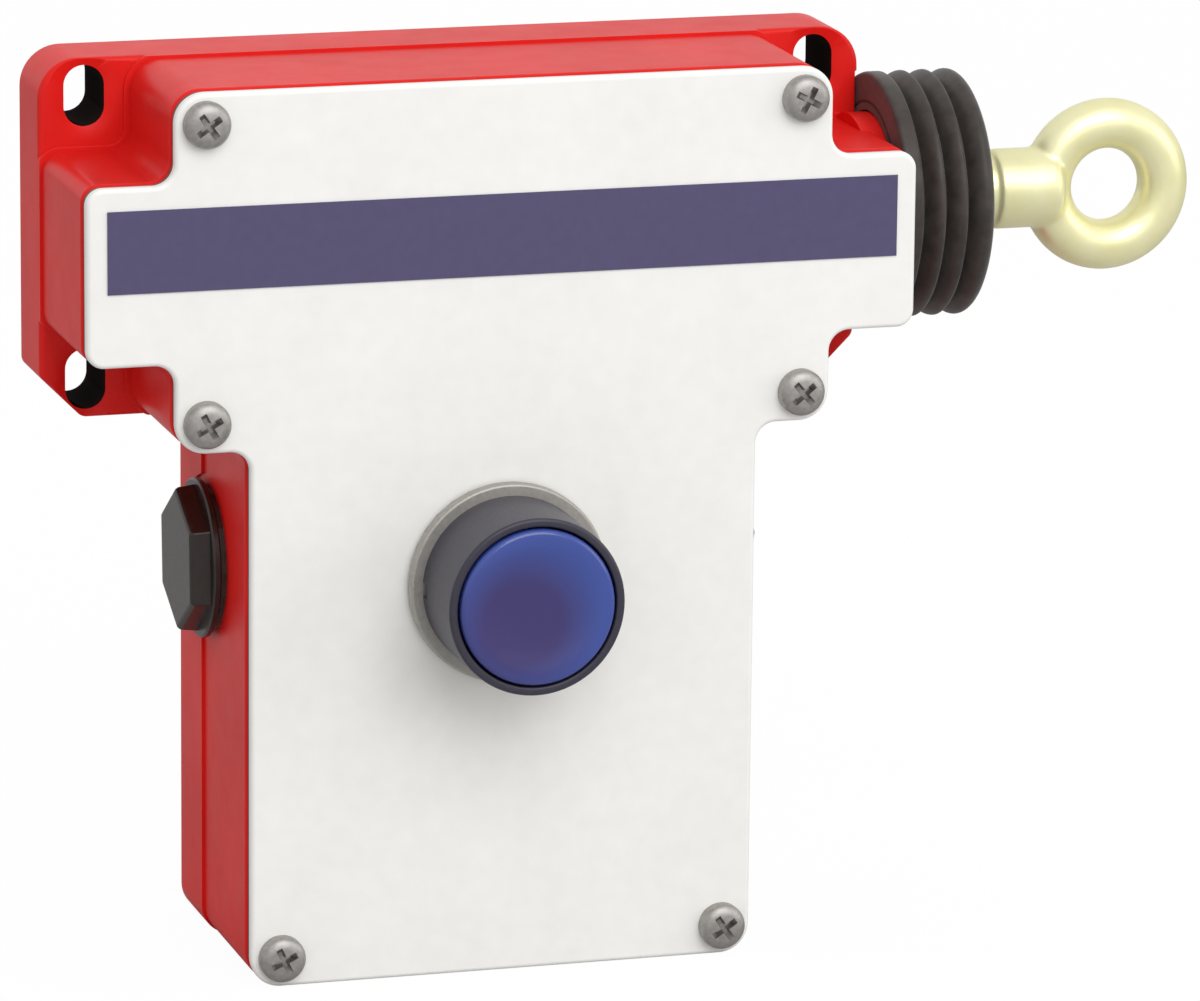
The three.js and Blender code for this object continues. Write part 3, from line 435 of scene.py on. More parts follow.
red_paint = make_red_paint()
print("finish:", red_paint.name)

# %% [markdown]
# The cover is coated off-white, less glossy, with faint clouds a few millimetres wide. Two noises
# of different grain make the clouds, because one noise alone looks like a pattern.

# %% White paint
def make_white_paint():
    white = (0.87, 0.862, 0.83)
    material = start_finish("white_paint", white, 0.45)
    nodes, links = material.node_tree.nodes, material.node_tree.links
    surface = nodes["Principled BSDF"]
    surface.inputs["Specular IOR Level"].default_value = 0.35
    clouds = nodes.new("ShaderNodeMath")
    clouds.operation = "MULTIPLY_ADD"
    clouds.inputs[1].default_value = 0.5
    halved = nodes.new("ShaderNodeMath")
    halved.operation = "MULTIPLY"
    halved.inputs[1].default_value = 0.5
    links.new(speckle(material, 3.5, 4.0), halved.inputs[0])
    links.new(speckle(material, 16), clouds.inputs[0])
    links.new(halved.outputs[0], clouds.inputs[2])
    blend_colours(material, clouds.outputs[0], scaled(white, 0.955), scaled(white, 1.02))
    vary_gloss(material, speckle(material, 5), 0.38, 0.52)
    raise_grain(material, speckle(material, 0.9, 2.0), 0.006)
    return material


white_paint = make_white_paint()
print("finish:", white_paint.name)

# %% [markdown]
# The band is a violet film stuck across the cover. It is printed flat, so it only needs its
# colour, a whisper of grain and a duller surface than the paint around it.

# %% Violet film
band_film = simple_finish("band", (0.076, 0.062, 0.148), 0.5, 0.0, 2.0, 0.003, 0.06)

# %% [markdown]
# Rubber is dark and dusty, and its gloss is broad. The dust is a brownish grey that noise mixes
# into the black. Plastics come from a polished mould, so they are smoother and more even.

# %% Rubber and plastics
def make_rubber():
    material = start_finish("black_rubber", (0.022, 0.018, 0.016), 0.5)
    surface = material.node_tree.nodes["Principled BSDF"]
    surface.inputs["Sheen Weight"].default_value = 0.15
    surface.inputs["Sheen Roughness"].default_value = 0.5
    dust = speckle(material, 2.5, 5.0)
    blend_colours(material, dust, (0.018, 0.013, 0.010), (0.042, 0.032, 0.025))
    vary_gloss(material, speckle(material, 4), 0.42, 0.6)
    raise_grain(material, speckle(material, 0.35, 2.0), 0.008)
    return material


black_rubber = make_rubber()
black_plastic = simple_finish("black_plastic", (0.020, 0.014, 0.011), 0.3, 0.0, 1.2, 0.006, 0.2)
dark_plastic = simple_finish("dark_plastic", (0.030, 0.027, 0.045), 0.4, 0.0, 0.8, 0.006, 0.12)
ivory_plastic = simple_finish("ivory_plastic", (0.66, 0.60, 0.48), 0.45, 0.0, 1.5, 0.005)
print("finish:", black_rubber.name, black_plastic.name, dark_plastic.name, ivory_plastic.name)

# %% [markdown]
# The eye is forged steel, plated with zinc and passivated, which leaves a pale yellow skin. It
# shines, but a forging is lumpy, so the bump has a long, shallow wave under a fine one. The
# other metals share one recipe with their own colour and gloss.

# %% Metals
def make_yellow_zinc():
    yellow = (0.93, 0.88, 0.48)
    material = start_finish("yellow_zinc", yellow, 0.36, 0.6)
    blend_colours(material, speckle(material, 7, 4.0), scaled(yellow, 0.93), (0.94, 0.91, 0.57))
    vary_gloss(material, speckle(material, 3), 0.3, 0.46)
    raise_grain(material, speckle(material, 5, 4.0), 0.05)
    return material


yellow_zinc = make_yellow_zinc()
steel = simple_finish("steel", (0.42, 0.40, 0.38), 0.48, 1.0, 0.7, 0.006, 0.15)
nickel = simple_finish("nickel", (0.46, 0.44, 0.41), 0.55, 1.0, 0.6, 0.006, 0.12)
bronze = simple_finish("bronze", (0.55, 0.32, 0.13), 0.45, 1.0, 0.5, 0.012)
brass = simple_finish("brass", (0.72, 0.55, 0.24), 0.3, 1.0, 0.9, 0.004)
print("finish:", yellow_zinc.name, steel.name, nickel.name, bronze.name, brass.name)

# %% [markdown]
# The cap of the button is clear blue plastic over a dark inside. Its rim is painted brighter and
# bluer than its middle, as light shining through a thin wall makes it, and most so at the upper
# right, towards the light: painted light. The colour runs outwards from a point a little below and
# left of the button's axis: the distance in object coordinates drives a ramp. A clear coat gives
# the wet look.

# %% Blue plastic
ring_low, ring_high = span("button_ring")
button_x = (ring_low.x + ring_high.x) / 2
button_z = (ring_low.z + ring_high.z) / 2
cap_low, cap_high = span("button_cap")
cap_radius = (cap_high.x - cap_low.x) / 2


def make_blue_plastic():
    # Painted light: the rim colour stands for light shining through the thin wall, and the centre
    # is shifted down and left so that this painted glow is strongest at the upper right.
    shift, core, past_rim = -2.5, 2.0, 5.0
    middle = (0.036, 0.026, 0.14)
    lit_rim_colour = (0.038, 0.070, 0.31)
    material = start_finish("blue_plastic", middle, 0.2)
    nodes, links = material.node_tree.nodes, material.node_tree.links
    surface = nodes["Principled BSDF"]
    surface.inputs["Coat Weight"].default_value = 0.3
    surface.inputs["Coat Roughness"].default_value = 0.08
    place = nodes.new("ShaderNodeTexCoord")
    apart = nodes.new("ShaderNodeSeparateXYZ")
    links.new(place.outputs["Object"], apart.inputs[0])
    flat = nodes.new("ShaderNodeCombineXYZ")
    links.new(apart.outputs["X"], flat.inputs["X"])
    links.new(apart.outputs["Z"], flat.inputs["Z"])
    far = nodes.new("ShaderNodeVectorMath")
    far.operation = "DISTANCE"
    far.inputs[1].default_value = ((button_x + shift) * mm, 0, (button_z + shift) * mm)
    links.new(flat.outputs[0], far.inputs[0])
    share = nodes.new("ShaderNodeMapRange")
    share.inputs["From Min"].default_value = core * mm
    share.inputs["From Max"].default_value = (cap_radius + past_rim) * mm
    links.new(far.outputs["Value"], share.inputs["Value"])
    blend_colours(material, share.outputs[0], middle, lit_rim_colour)
    vary_gloss(material, speckle(material, 3), 0.16, 0.26)
    raise_grain(material, speckle(material, 2.0, 2.0), 0.008)
    return material


blue_plastic = make_blue_plastic()
print("finish:", blue_plastic.name, "round", round(button_x, 2), round(button_z, 2))

# %% [markdown]
# Each node of the frame names the slot that its finish comes from. So the nodes get their
# materials in one loop, whether they show or lie deep inside.

# %% Finish every node of the frame
finishes = {finish.name: finish for finish in (
    red_paint, white_paint, band_film, black_rubber, black_plastic, dark_plastic, blue_plastic,
    steel, yellow_zinc, bronze, brass, nickel, ivory_plastic,
)}
for part in frame["record"]["subparts"]:
    node = frame["nodes"][part["node"]]
    for place in node.material_slots:
        place.link = "OBJECT"
        place.material = finishes[part["material_slot"]]

# %% [markdown]
# The housing and the cover share one outline, a wide head over a narrower body. A bevel could
# round its corners, but outside and inside corners have different radii here. So the outline is
# drawn with an arc at each corner, worked out from the two edges that meet there.

# %% Outlines with round corners
def rounded(corners, arc_step=math.radians(7.5)):
    """Points of an outline through corners (across, up, radius), in order."""
    points = []
    for i, (x, y, radius) in enumerate(corners):
        corner = Vector((x, y))
        before = (Vector(corners[i - 1][:2]) - corner).normalized()
        after = (Vector(corners[(i + 1) % len(corners)][:2]) - corner).normalized()
        half = before.angle(after) / 2
        centre = corner + (before + after).normalized() * radius / math.sin(half)
        start = corner + before * radius / math.tan(half) - centre
        end = corner + after * radius / math.tan(half) - centre
        sweep = math.atan2(start.x * end.y - start.y * end.x, start.dot(end))
        first = math.atan2(start.y, start.x)
        steps = max(1, round(abs(sweep) / arc_step))
        for k in range(steps + 1):
            angle = first + sweep * k / steps
            across = centre.x + radius * math.cos(angle)
            points.append((across, centre.y + radius * math.sin(angle)))
    return points


def mirrored(right):
    return right + [(-x, *rest) for x, *rest in reversed(right)]


def joined(name, rings):
    """Solid through rings with as many points each, and a lid on both ends."""
    count = len(rings[0])
    last = count * (len(rings) - 1)
    faces = [tuple(range(count)), tuple(range(last, last + count))]
    for start in range(0, last, count):
        for i in range(count):
            a, b = start + i, start + (i + 1) % count
            faces.append((a, b, b + count, a + count))
    return piece_from(name, [point for ring in rings for point in ring], faces)


def plate(name, outline, back, front):
    """Slab between two planes of constant depth, from an outline of across and up."""
    return joined(name, [[(x, level, z) for x, z in outline] for level in (back, front)])


body_half = -span("entry_seal_left")[1].x
body_drop = -span("cover_plate")[0].z
head_half = 57.2
head_high = span("cover_plate")[1].z
nose_half = span("cover_plate")[1].x
nose_high = 15.2
outer_corner, inner_corner, nose_corner, least_corner = 5.2, 3.6, 3.0, 1.0


def face_outline(inset):
    outer, nose, hollow = outer_corner - inset, nose_corner - inset, inner_corner + inset
    outer, nose = max(outer, least_corner), max(nose, least_corner)
    return rounded(mirrored([
        (body_half - inset, inset - body_drop, outer),
        (body_half - inset, inset - head_high, hollow),
        (head_half - inset, inset - head_high, outer),
        (head_half - inset, inset - nose_high, hollow),
        (nose_half - inset, inset - nose_high, nose),
        (nose_half - inset, nose_high - inset, nose),
        (head_half - inset, nose_high - inset, hollow),
        (head_half - inset, head_high - inset, outer),
    ]))


print("outline points:", len(face_outline(0)))

# %% [markdown]
# Round pieces, and the cutters for round holes, are turned like on a lathe: a profile runs along
# an axis and is spun. Blender's Screw modifier does the same, but a small function keeps the
# points at the poles single and works along any axis.

# %% Turned pieces
def turned(name, profile, centre, axis, steps=64, closed=False):
    """Spins points (along, radius) about an axis that is X, Y or Z, through a centre."""
    ahead_of = {"X": (0, 1, 2), "Y": (1, 2, 0), "Z": (2, 0, 1)}[axis]
    points, rings = [], []
    for along, radius in profile:
        sides = 1 if radius < 1e-6 else steps
        rings.append([len(points) + k for k in range(sides)])
        for k in range(sides):
            angle = 2 * math.pi * k / steps
            spot = [0, 0, 0]
            spot[ahead_of[0]] = along
            spot[ahead_of[1]] = radius * math.cos(angle)
            spot[ahead_of[2]] = radius * math.sin(angle)
            points.append([value + shift for value, shift in zip(spot, centre)])
    faces = []
    for one, two in zip(rings, rings[1:] + ([rings[0]] if closed else [])):
        for k in range(steps):
            near_side = [one[k % len(one)], one[(k + 1) % len(one)]]
            corners = near_side + [two[(k + 1) % len(two)], two[k % len(two)]]
            kept = [c for i, c in enumerate(corners) if c != corners[i - 1]]
            if len(kept) > 2:
                faces.append(kept)
    return piece_from(name, points, faces)


def peg(centre, axis, radius, start, end, steps=48):
    """Plain round cutter or boss between two places along its axis."""
    start, end = min(start, end), max(start, end)
    profile = [(start, 0), (start, radius), (end, radius), (end, 0)]
    return turned("tool", profile, centre, axis, steps)


print("turned pieces are ready")

# %% [markdown]
# The housing is one casting: a thick rear half with four lugs, a front half that carries the
# cover, a hollow inside with posts for the screws, and bosses where something passes through the
# wall. It could be box-modelled, but the real thing is made of such simple forms added and cut,
# so booleans say it plainly. The rims are bevelled before the cuts, while the mesh is still clean.
# A low ledge runs round the foot of the front half, as the edge of the mould leaves it.

# %% Housing
depth = -span("cover_plate")[0].y
cover_back = span("cover_plate")[1].y
rim_face = span("cover_gasket")[1].y
parting_step = 0.5
lug_corner, lug_bevel, web_bevel, slant_round = 7.0, 7.4, 4.8, 2.0
wall, back_wall = 3.5, 4.0
line_y, line_z = -22.5, 2.5
line_bore, line_boss, line_collar, line_pad = 8.1, 11.5, 14.5, 22.0
entry_bore, entry_boss, entry_pad = 10.3, 14.0, 14.35
ledge_wide, ledge_high = 0.9, 0.6
post_radius, screw_bore, screw_bore_deep = 5.0, 2.3, 14.3
earth_post, bracket_post, short_post_high = (32.0, -16.0), (-30.0, -76.0), 9
entry_y = (span("entry_plug_left")[0].y + span("entry_plug_left")[1].y) / 2
entry_z = (span("entry_plug_left")[0].z + span("entry_plug_left")[1].z) / 2
cover_screws = []
for number in range(1, 7):
    low, high = span(f"cover_screw_{number}")
    cover_screws.append(((low.x + high.x) / 2, (low.z + high.z) / 2))


def rear_outline():
    """Outline of the rear half: lugs with slanted lower corners, and a slanted web under each."""
    body, side = body_half + parting_step, nose_half + parting_step
    top = head_high + parting_step
    return rounded(mirrored([
        (body, -body_drop, outer_corner),
        (body, -top - web_bevel, slant_round),
        (body + web_bevel, -top, slant_round),
        (side - lug_bevel, -top, slant_round),
        (side, lug_bevel - top, slant_round),
        (side, top, lug_corner),
    ]))


def slot_outline(x, z, grow=0.0):
    """Outline of a fixing slot. A hair is left between two arcs, so that no points meet."""
    radius = slot_radius + grow
    half_high, bend = slot_straight + radius, radius * 0.999
    return rounded([
        (x + radius, z - half_high, bend), (x + radius, z + half_high, bend),
        (x - radius, z + half_high, bend), (x - radius, z - half_high, bend),
    ])


def slot_cutter(x, z):
    """Slot through the lug with a dished ring at its front."""
    levels = [(1, 0), (lug_face + dish_deep, 0), (lug_face, dish_wide), (lug_face - 30, dish_wide)]
    return joined("tool", [
        [(px, y, pz) for px, pz in slot_outline(x, z, grow)] for y, grow in levels
    ])


def make_housing():
    rear = plate("red_housing", rear_outline(), 0, lug_face)
    ease_edges(rear, 1.0, 4)
    front = plate("tool", face_outline(0), lug_face / 2, rim_face)
    ease_edges(front, 0.9, 4)
    combine(rear, front, "UNION")
    ledge = plate("tool", face_outline(-ledge_wide), lug_face / 2, lug_face - ledge_high)
    ease_edges(ledge, 0.25, 2)
    combine(ledge, plate("tool", rear_outline(), 1, lug_face - 5), "INTERSECT")
    combine(rear, ledge, "UNION")
    line = (0, line_y, line_z)
    entry = (0, entry_y, entry_z)
    pad_past = 2 * parting_step
    combine(rear, peg(line, "X", line_pad, nose_half, nose_half + pad_past, 64), "DIFFERENCE")
    for side in (-1, 1):
        pad = peg(entry, "X", entry_pad, side * body_half, side * (body_half + pad_past), 64)
        combine(rear, pad, "DIFFERENCE")
    combine(rear, peg(line, "X", line_collar, nose_half - wall, nose_half + 2.7, 64), "UNION")
    hollow = plate("tool", face_outline(wall), -back_wall, rim_face - 1)
    for x, z in cover_screws:
        post = peg((x, 0, z), "Y", post_radius, -back_wall + 1, rim_face - 2)
        combine(hollow, post, "DIFFERENCE")
    combine(rear, hollow, "DIFFERENCE")
    combine(rear, peg(line, "X", line_boss, nose_half - wall - 4.8, nose_half - 1), "UNION")
    for side in (-1, 1):
        far, close = side * (body_half - wall - 4), side * (body_half - 1)
        combine(rear, peg(entry, "X", entry_boss, far, close, 64), "UNION")
    bore = peg(line, "X", line_bore, nose_half - 4 * wall, nose_half + 2 * wall)
    combine(rear, bore, "DIFFERENCE")
    for side in (-1, 1):
        far, close = side * (body_half - 4 * wall), side * (body_half + wall)
        bore = peg(entry, "X", entry_bore, far, close, 64)
        combine(rear, bore, "DIFFERENCE")
        for level in (-1, 1):
            combine(rear, slot_cutter(side * slot_across, level * slot_up), "DIFFERENCE")
    for x, z in cover_screws:
        bore = peg((x, 0, z), "Y", screw_bore, -depth + screw_bore_deep, rim_face - 2)
        combine(rear, bore, "DIFFERENCE")
    for x, z in (earth_post, bracket_post):
        post = peg((x, 0, z), "Y", post_radius, -back_wall + 1, -short_post_high)
        combine(rear, post, "UNION")
    shade(rear)
    return rear


hand_over(make_housing(), "root", red_paint, "housing")

# %% [markdown]
# The cover is a flat plate with eased edges, and a thin gasket seals it. Both use the outline of
# the housing, so the three line up exactly. The gasket is a little smaller and shows as the
# dark line round the cover.

# %% Gasket and cover
gasket_inset, panel_hole = 0.4, 11.25


def drill(piece, back, front):
    for x, z in cover_screws:
        combine(piece, peg((x, 0, z), "Y", screw_bore, front - 1, back + 1), "DIFFERENCE")


def make_gasket():
    gasket = plate("rubber_gasket", face_outline(gasket_inset), rim_face, cover_back)
    inside = plate("tool", face_outline(wall), rim_face + 1, cover_back - 1)
    for x, z in cover_screws:
        post = peg((x, 0, z), "Y", post_radius, cover_back - 2, rim_face + 2)
        combine(inside, post, "DIFFERENCE")
    combine(gasket, inside, "DIFFERENCE")
    drill(gasket, rim_face, cover_back)
    shade(gasket)
    return gasket


def make_cover():
    cover = plate("cover", face_outline(0), cover_back, -depth)
    ease_edges(cover, 0.8, 5)
    drill(cover, cover_back, -depth)
    hole = peg((button_x, 0, button_z), "Y", panel_hole, -depth - 1, cover_back + 1, 64)
    combine(cover, hole, "DIFFERENCE")
    shade(cover)
    return cover


hand_over(make_gasket(), "root", black_rubber, "cover_gasket")
hand_over(make_cover(), "root", white_paint, "cover_plate")

# %% [markdown]
# Six screws hold the cover. Their heads are low domes with a cross recess whose arms taper
# towards the bottom, as the point of the driver does. One screw is modelled for each place,
# because each one stopped at its own angle when it was driven home.

# %% Cover screws
screw_turns = [35, 62, 28, 40, 25, 33]
cross_deep, cross_reach, cross_half = 1.5, 2.5, 0.58
dome_steps, dome_flat, dome_share, screw_shank = 8, 0.42, 0.55, 2.0


def cross_cutter(x, z, top, turn):
    """Cross with tapering arms, wide at the top of the head."""
    half, reach = cross_half, cross_reach
    corners = []
    for quarter in range(4):
        angle = math.radians(turn) + quarter * math.pi / 2
        c, s = math.cos(angle), math.sin(angle)
        for px, pz in ((half, half), (half, reach), (-half, reach)):
            corners.append((px * c - pz * s, px * s + pz * c))
    return joined("tool", [
        [(x + px * grow, level, z + pz * grow) for px, pz in corners]
        for level, grow in ((top - 0.4, 1.1), (top + cross_deep, 0.55))
    ])


def make_cover_screw(number, x, z, turn):
    low, high = span(f"cover_screw_{number}")
    radius = (high.x - low.x) / 2
    seat, top, tip = -depth, low.y, high.y
    height = seat - top
    dome = [(top, 0)]
    for k in range(1, dome_steps + 1):
        lean = k / dome_steps * math.pi / 2
        along = top + height * dome_share * (1 - math.cos(lean))
        dome.append((along, radius * (dome_flat + (1 - dome_flat) * math.sin(lean))))
    end = [(tip - screw_shank / 2, screw_shank), (tip, screw_shank / 2), (tip, 0)]
    profile = dome + [(seat, radius), (seat, screw_shank)] + end
    screw = turned(f"screw_{number}", profile, (x, 0, z), "Y", 40)
    combine(screw, cross_cutter(x, z, top, turn), "DIFFERENCE")
    shade(screw, 30)
    return screw


for number, ((x, z), turn) in enumerate(zip(cover_screws, screw_turns), 1):
    hand_over(make_cover_screw(number, x, z, turn), "root", steel, f"cover_screw_{number}")

# %% [markdown]
# The two cable entries are closed by black plugs: a round flange with a hexagon on it for the
# spanner. The flange is turned and the hexagon is a drawn plate, and a small bevel catches the
# light along the edges, which is most of what the eye sees of black plastic.

# %% Entry plugs and their seals
def make_plug(side, turn):
    low, high = span("entry_plug_left" if side < 0 else "entry_plug_right")
    centre = (0, entry_y, entry_z)
    start = side * body_half
    inside = high.x if side < 0 else low.x
    outside = low.x if side < 0 else high.x
    seal, flange = 1.0, 2.4
    profile = [
        (inside, 8.2), (inside, 10.0), (start + side * seal, 10.0), (start + side * seal, 13.2),
        (start + side * 1.3, 13.75), (start + side * 2.1, 13.75), (start + side * flange, 13.4),
        (start + side * flange, 0), (start + side * seal, 0), (start + side * seal, 8.2),
    ]
    plug = turned("plug_left" if side < 0 else "plug_right", profile, centre, "X", 72)
    base = start + side * (flange - 0.3)
    angles = [math.radians(turn) + k * math.pi / 3 for k in range(6)]
    hexagon = joined("tool", [
        [(level, entry_y + radius * math.cos(a), entry_z + radius * math.sin(a)) for a in angles]
        for level, radius in ((base, 12.9), (outside - side * 0.5, 12.5), (outside, 11.9))
    ])
    ease_edges(hexagon, 0.35, 3, 30)
    combine(plug, hexagon, "UNION")
    shade(plug, 30)
    return plug


hand_over(make_plug(-1, 26.5), "root", black_plastic, "entry_plug_left")
hand_over(make_plug(1, 53), "root", black_plastic, "entry_plug_right")

# %% [markdown]
# The rubber bellows keeps dust off the rod. Its ribs are soft lips that lean towards the eye,
# each with a broad round back and a narrow valley behind it. The profile is a formula for one rib,
# repeated. One end stays on the housing and the other grips the rod.

# %% Bellows
bellows_start = nose_half + 0.3
bellows_flange, bellows_pitch, bellows_ribs = 2.8, 4.0, 3
lip_radius, valley_radius, rubber_thick = 21.4, 18.7, 1.5
rib_steps, cuff_steps, valley_share, rib_fullness = 16, 8, 0.34, 0.8
foot_radius, grip_radius = 14.8, 6.3
rod_end = span("pull_rod")[1].x


def lip(share):
    """Radius over one pitch: down into the valley, then round up to the lip."""
    if share < valley_share:
        drop = 0.5 - 0.5 * math.cos(math.pi * share / valley_share)
        return lip_radius + (valley_radius - lip_radius) * drop
    rise = math.sin((share - valley_share) / (1 - valley_share) * math.pi / 2)
    return valley_radius + (lip_radius - valley_radius) * rise ** rib_fullness


def make_bellows():
    foot, first = bellows_start, bellows_start + bellows_flange
    outside = [
        (foot, 15.9), (foot + 0.35, 16.2), (foot, 16.6), (foot, 20.7), (foot + 0.25, 21.2),
        (foot + 0.8, lip_radius), (first - 0.1, lip_radius),
    ]
    inside = []
    for rib in range(bellows_ribs):
        for k in range(1, rib_steps + 1):
            share = k / rib_steps
            outside.append((first + bellows_pitch * (rib + share), lip(share)))
            inside.append((first + bellows_pitch * (rib + share), lip(share) - rubber_thick))
    end = first + bellows_pitch * bellows_ribs
    for k in range(1, cuff_steps + 1):
        lean = k / cuff_steps * math.pi / 2
        outside.append((end + 1.7 * math.sin(lean), lip_radius - 2.6 * (1 - math.cos(lean))))
    outside += [
        (end + 1.75, 16.0), (end + 1.3, 14.6), (end + 1.3, 13.4), (end + 1.8, 12.2),
        (end + 1.9, 10.4), (rod_end - 0.9, 8.6), (rod_end - 0.2, 7.9),
        (rod_end - 0.2, grip_radius),
    ]
    inside += [
        (end + 0.2, lip_radius - 3.4), (end + 0.2, 10.0), (rod_end - 3.4, 7.6),
        (rod_end - 3.4, grip_radius),
    ]
    back = [(first, 19.6), (foot + 2.7, foot_radius), (foot, foot_radius)]
    profile = outside + inside[::-1] + back
    return turned("rubber_bellows", profile, (0, line_y, line_z), "X", 96, closed=True)


bellows = make_bellows()
shade(bellows, 60)
hand_over(bellows, None, black_rubber, "bellows")
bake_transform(bellows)

# %% [markdown]
# The eye and its neck are one forging, and they melt into each other. Two clean solids meet with
# a hard line, so they are joined by a voxel remesh, which wraps one skin round both, and the skin
# is then smoothed until the corner is a soft fillet. A thin nut locks the shank in the rod.

# %% Eye bolt
eye_low, eye_high = span("eye_bolt")
eye_section = 4.4
eye_outer = (eye_high.z - eye_low.z) / 2
eye_ring = eye_outer - eye_section
eye_x = eye_high.x - eye_outer
neck_left = eye_x - 21.5
shank_radius, collar_radius, neck_radius = 4.0, 6.2, 7.0
skin_cell, skin_rounds = 0.38, 10


def ring_points(sides_round, sides_section):
    points, faces = [], []
    for i in range(sides_round):
        angle = 2 * math.pi * i / sides_round
        for k in range(sides_section):
            lean = 2 * math.pi * k / sides_section
            reach = eye_ring + eye_section * math.cos(lean)
            points.append((
                eye_x + reach * math.cos(angle),
                line_y + eye_section * math.sin(lean),
                line_z + reach * math.sin(angle),
            ))
            here = i * sides_section + k
            beside = i * sides_section + (k + 1) % sides_section
            further = ((i + 1) % sides_round) * sides_section
            faces.append((here, beside, further + (k + 1) % sides_section, further + k))
    return points, faces


def make_eye_bolt():
    eye = piece_from("forged_eye", *ring_points(72, 32))
    neck = eye_x - eye_ring - eye_section
    stalk = turned("tool", [
        (eye_low.x, 0), (eye_low.x, shank_radius), (neck_left - 1.8, shank_radius),
        (neck_left - 1.8, collar_radius), (neck_left, collar_radius),
        (neck_left + 0.7, neck_radius), (neck + 4.6, neck_radius), (neck + 5.6, 6.4),
        (neck + 6.3, 5.2), (neck + 6.5, 4.0), (neck + 6.5, 0),
    ], (0, line_y, line_z), "X", 48)
    combine(eye, stalk, "UNION")
    skin = eye.modifiers.new("skin", "REMESH")
    skin.mode = "VOXEL"
    skin.voxel_size = skin_cell * mm
    soften = eye.modifiers.new("soften", "SMOOTH")
    soften.factor = 0.5
    soften.iterations = skin_rounds
    apply_modifiers(eye)
    eye.data.shade_smooth()
    return eye


def make_lock_nut():
    """Thin nut that locks the eye in the rod, low enough to stay behind the bellows."""
    thick, corner_radius, play = 2.6, 7.5, 0.3
    start = rod_end + 0.1
    angles = [k * math.pi / 3 for k in range(6)]
    nut = joined("thin_nut", [
        [(x, line_y + corner_radius * math.cos(a), line_z + corner_radius * math.sin(a))
         for a in angles]
        for x in (start, start + thick)
    ])
    ease_edges(nut, 0.3, 2, 30)
    bore = peg((0, line_y, line_z), "X", shank_radius + play, start - 1, start + thick + 1)
    combine(nut, bore, "DIFFERENCE")
    shade(nut, 30)
    return nut


hand_over(make_eye_bolt(), "pull_line", yellow_zinc, "eye_bolt")
hand_over(make_lock_nut(), "pull_line", steel, "lock_nut")

# %% [markdown]
# The button stands on a grey ring. A dark sleeve guards it, with a small notch at the left of its
# foot, and the blue cap sits in the sleeve, dished so that a finger finds its middle. All are
# turned about the same axis, with the corners drawn as short arcs.

# %% Button
sleeve_wall, cap_wall = 1.5, 1.5
notch_deep, notch_wide, notch_high = 0.7, 2.4, 2.4


def arc(centre, radius, start, end, steps=5):
    """Points (along, radius) of an arc, angles in degrees from the axis direction."""
    angles = [math.radians(start + (end - start) * k / steps) for k in range(steps + 1)]
    return [(centre[0] + radius * math.cos(a), centre[1] + radius * math.sin(a)) for a in angles]


def make_ring():
    foot, top = ring_high.y, ring_low.y
    radius = (ring_high.x - ring_low.x) / 2
    profile = [(foot, panel_hole), (foot, radius - 0.2), (foot - 0.2, radius)]
    profile += arc((top + 0.5, radius - 0.5), 0.5, 90, 180)
    profile.append((top, panel_hole))
    return turned("ring", profile, (button_x, 0, button_z), "Y", 96, closed=True)


def make_sleeve():
    low, high = span("button_sleeve")
    radius = (high.x - low.x) / 2
    bore, neck, stem_hole = radius - sleeve_wall, 10.9, 3.3
    front, foot, deep = low.y, -depth - 3.0, -depth - 7.5
    profile = [(foot, neck), (foot, radius)]
    profile += arc((front + 0.6, radius - 0.6), 0.6, 90, 180)
    profile += arc((front + 0.4, bore + 0.4), 0.4, 180, 270, 3)
    profile += [(deep, bore), (deep, stem_hole), (high.y, stem_hole), (high.y, neck)]
    sleeve = turned("sleeve", profile, (button_x, 0, button_z), "Y", 96, closed=True)
    left, right = button_x - radius - 1, button_x - radius + notch_deep
    low_side, high_side = button_z - notch_wide / 2, button_z + notch_wide / 2
    notch = rounded([
        (left, low_side, 0.3), (right, low_side, 0.3),
        (right, high_side, 0.3), (left, high_side, 0.3),
    ])
    combine(sleeve, plate("tool", notch, foot + 1, foot - notch_high), "DIFFERENCE")
    return sleeve


def make_cap():
    front = cap_low.y
    back = front + 3.0
    skirt = front + 8.7
    bore, stem, stem_bore = cap_radius - cap_wall, 5.5, 3.3
    profile = [(front + 0.85, 0), (front + 0.85, 5.0), (front + 0.75, 7.0), (front + 0.45, 9.0)]
    profile += [(front + 0.12, 10.4), (front, 11.3), (front + 0.02, 12.1)]
    profile += arc((front + 1.0, cap_radius - 1.0), 1.0, 170, 90)
    profile += [(skirt, cap_radius), (skirt, bore), (back, bore), (back, stem)]
    profile += [(back + 3, stem), (back + 3, stem_bore), (back, stem_bore), (back, 0)]
    return turned("cap", profile, (button_x, 0, button_z), "Y", 96)


button_ring, sleeve, cap = make_ring(), make_sleeve(), make_cap()
for made, body, material, node in (
    (button_ring, "root", nickel, "button_ring"),
    (sleeve, "root", dark_plastic, "button_sleeve"),
    (cap, "reset", blue_plastic, "button_cap"),
):
    shade(made, 40)
    hand_over(made, body, material, node)
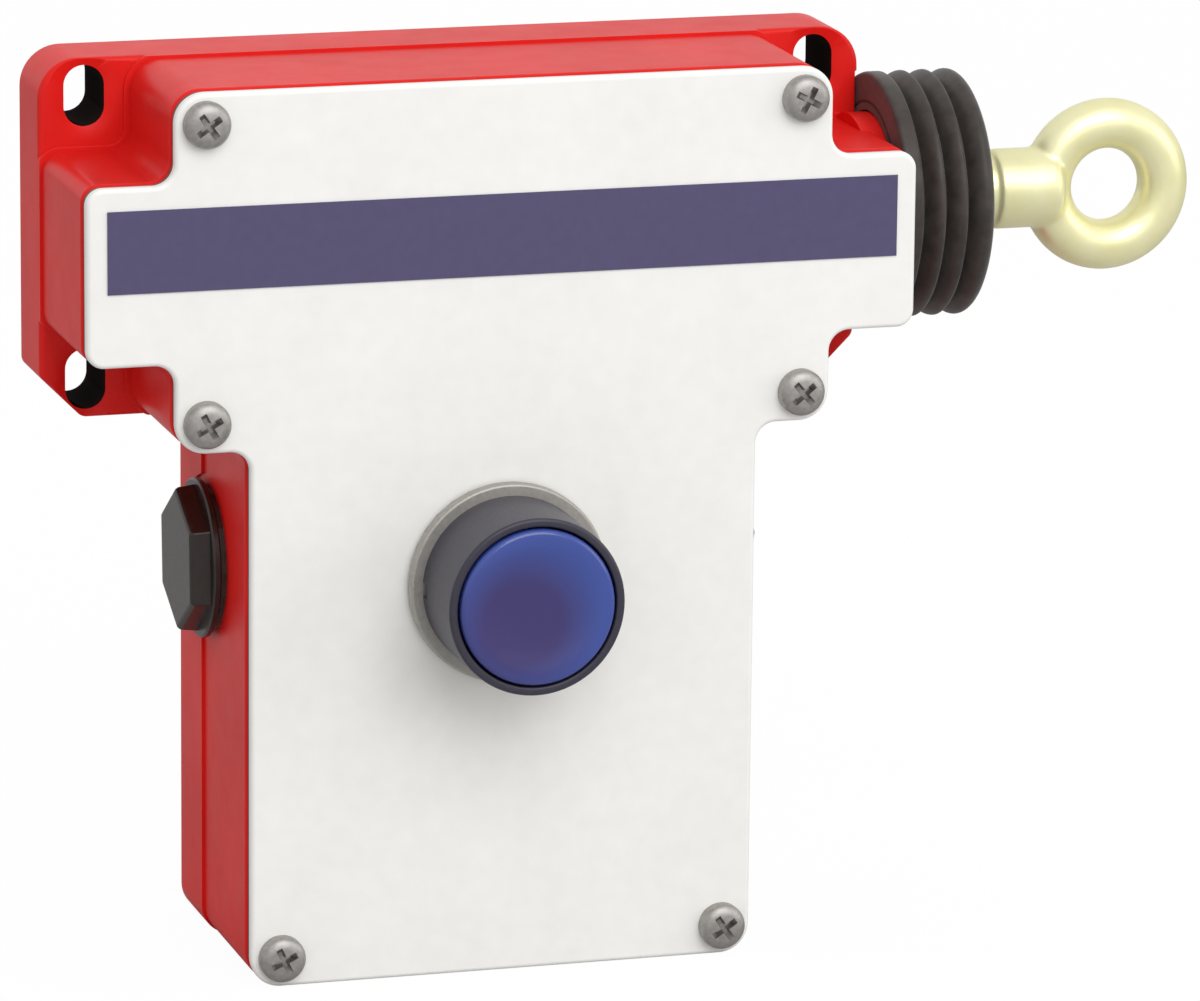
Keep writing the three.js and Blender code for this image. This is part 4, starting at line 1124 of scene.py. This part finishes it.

# %% [markdown]
# Two springs work out of sight: a strong one round the rod and a light one under the button. A
# spring could be a curve with a round bevel, but a blended piece has to be a mesh, so the wire is
# swept along its helix here.

# %% Springs
def coil(name, centre, axis, mean, wire, start, end, turns, sides=10, per_turn=28):
    """Round wire on a helix, with its mean radius and the radius of the wire."""
    along_axis, first, second = {"X": (0, 1, 2), "Y": (1, 2, 0)}[axis]
    count = round(turns * per_turn)
    points, faces = [], []
    lean = math.atan2(end - start - 2 * wire, 2 * math.pi * mean * turns)
    for i in range(count + 1):
        angle = 2 * math.pi * turns * i / count
        middle = start + wire + (end - start - 2 * wire) * i / count
        for k in range(sides):
            spin = 2 * math.pi * k / sides
            reach = mean + wire * math.cos(spin)
            slide = -wire * math.sin(spin) * math.sin(lean)
            spot = [0, 0, 0]
            spot[along_axis] = middle + wire * math.sin(spin) * math.cos(lean)
            spot[first] = reach * math.cos(angle) - slide * math.sin(angle)
            spot[second] = reach * math.sin(angle) + slide * math.cos(angle)
            points.append([value + shift for value, shift in zip(spot, centre)])
    for i in range(count):
        for k in range(sides):
            a, b = i * sides + k, i * sides + (k + 1) % sides
            faces.append((a, b, b + sides, a + sides))
    faces += [tuple(range(sides)), tuple(range(count * sides, (count + 1) * sides))]
    return piece_from(name, points, faces)


spring_low, spring_high = span("main_spring")
main_spring = coil(
    "strong_spring", (0, line_y, line_z), "X", 10.4, 1.4, spring_low.x, spring_high.x, 5.5,
)
main_ends = [(x, line_y, line_z) for x in (spring_high.x, spring_low.x)]
reset_low, reset_high = span("reset_spring")
reset_spring = coil(
    "light_spring", (button_x, 0, button_z), "Y", 7.2, 0.55, reset_low.y, reset_high.y, 4,
)
reset_ends = [(button_x, y, button_z) for y in (reset_high.y, reset_low.y)]
for made, node, moving, (start, end) in (
    (main_spring, "main_spring", "pull_line", main_ends),
    (reset_spring, "reset_spring", "reset", reset_ends),
):
    made.data.shade_smooth()
    hand_over(made, None, steel, node)
    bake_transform(made)
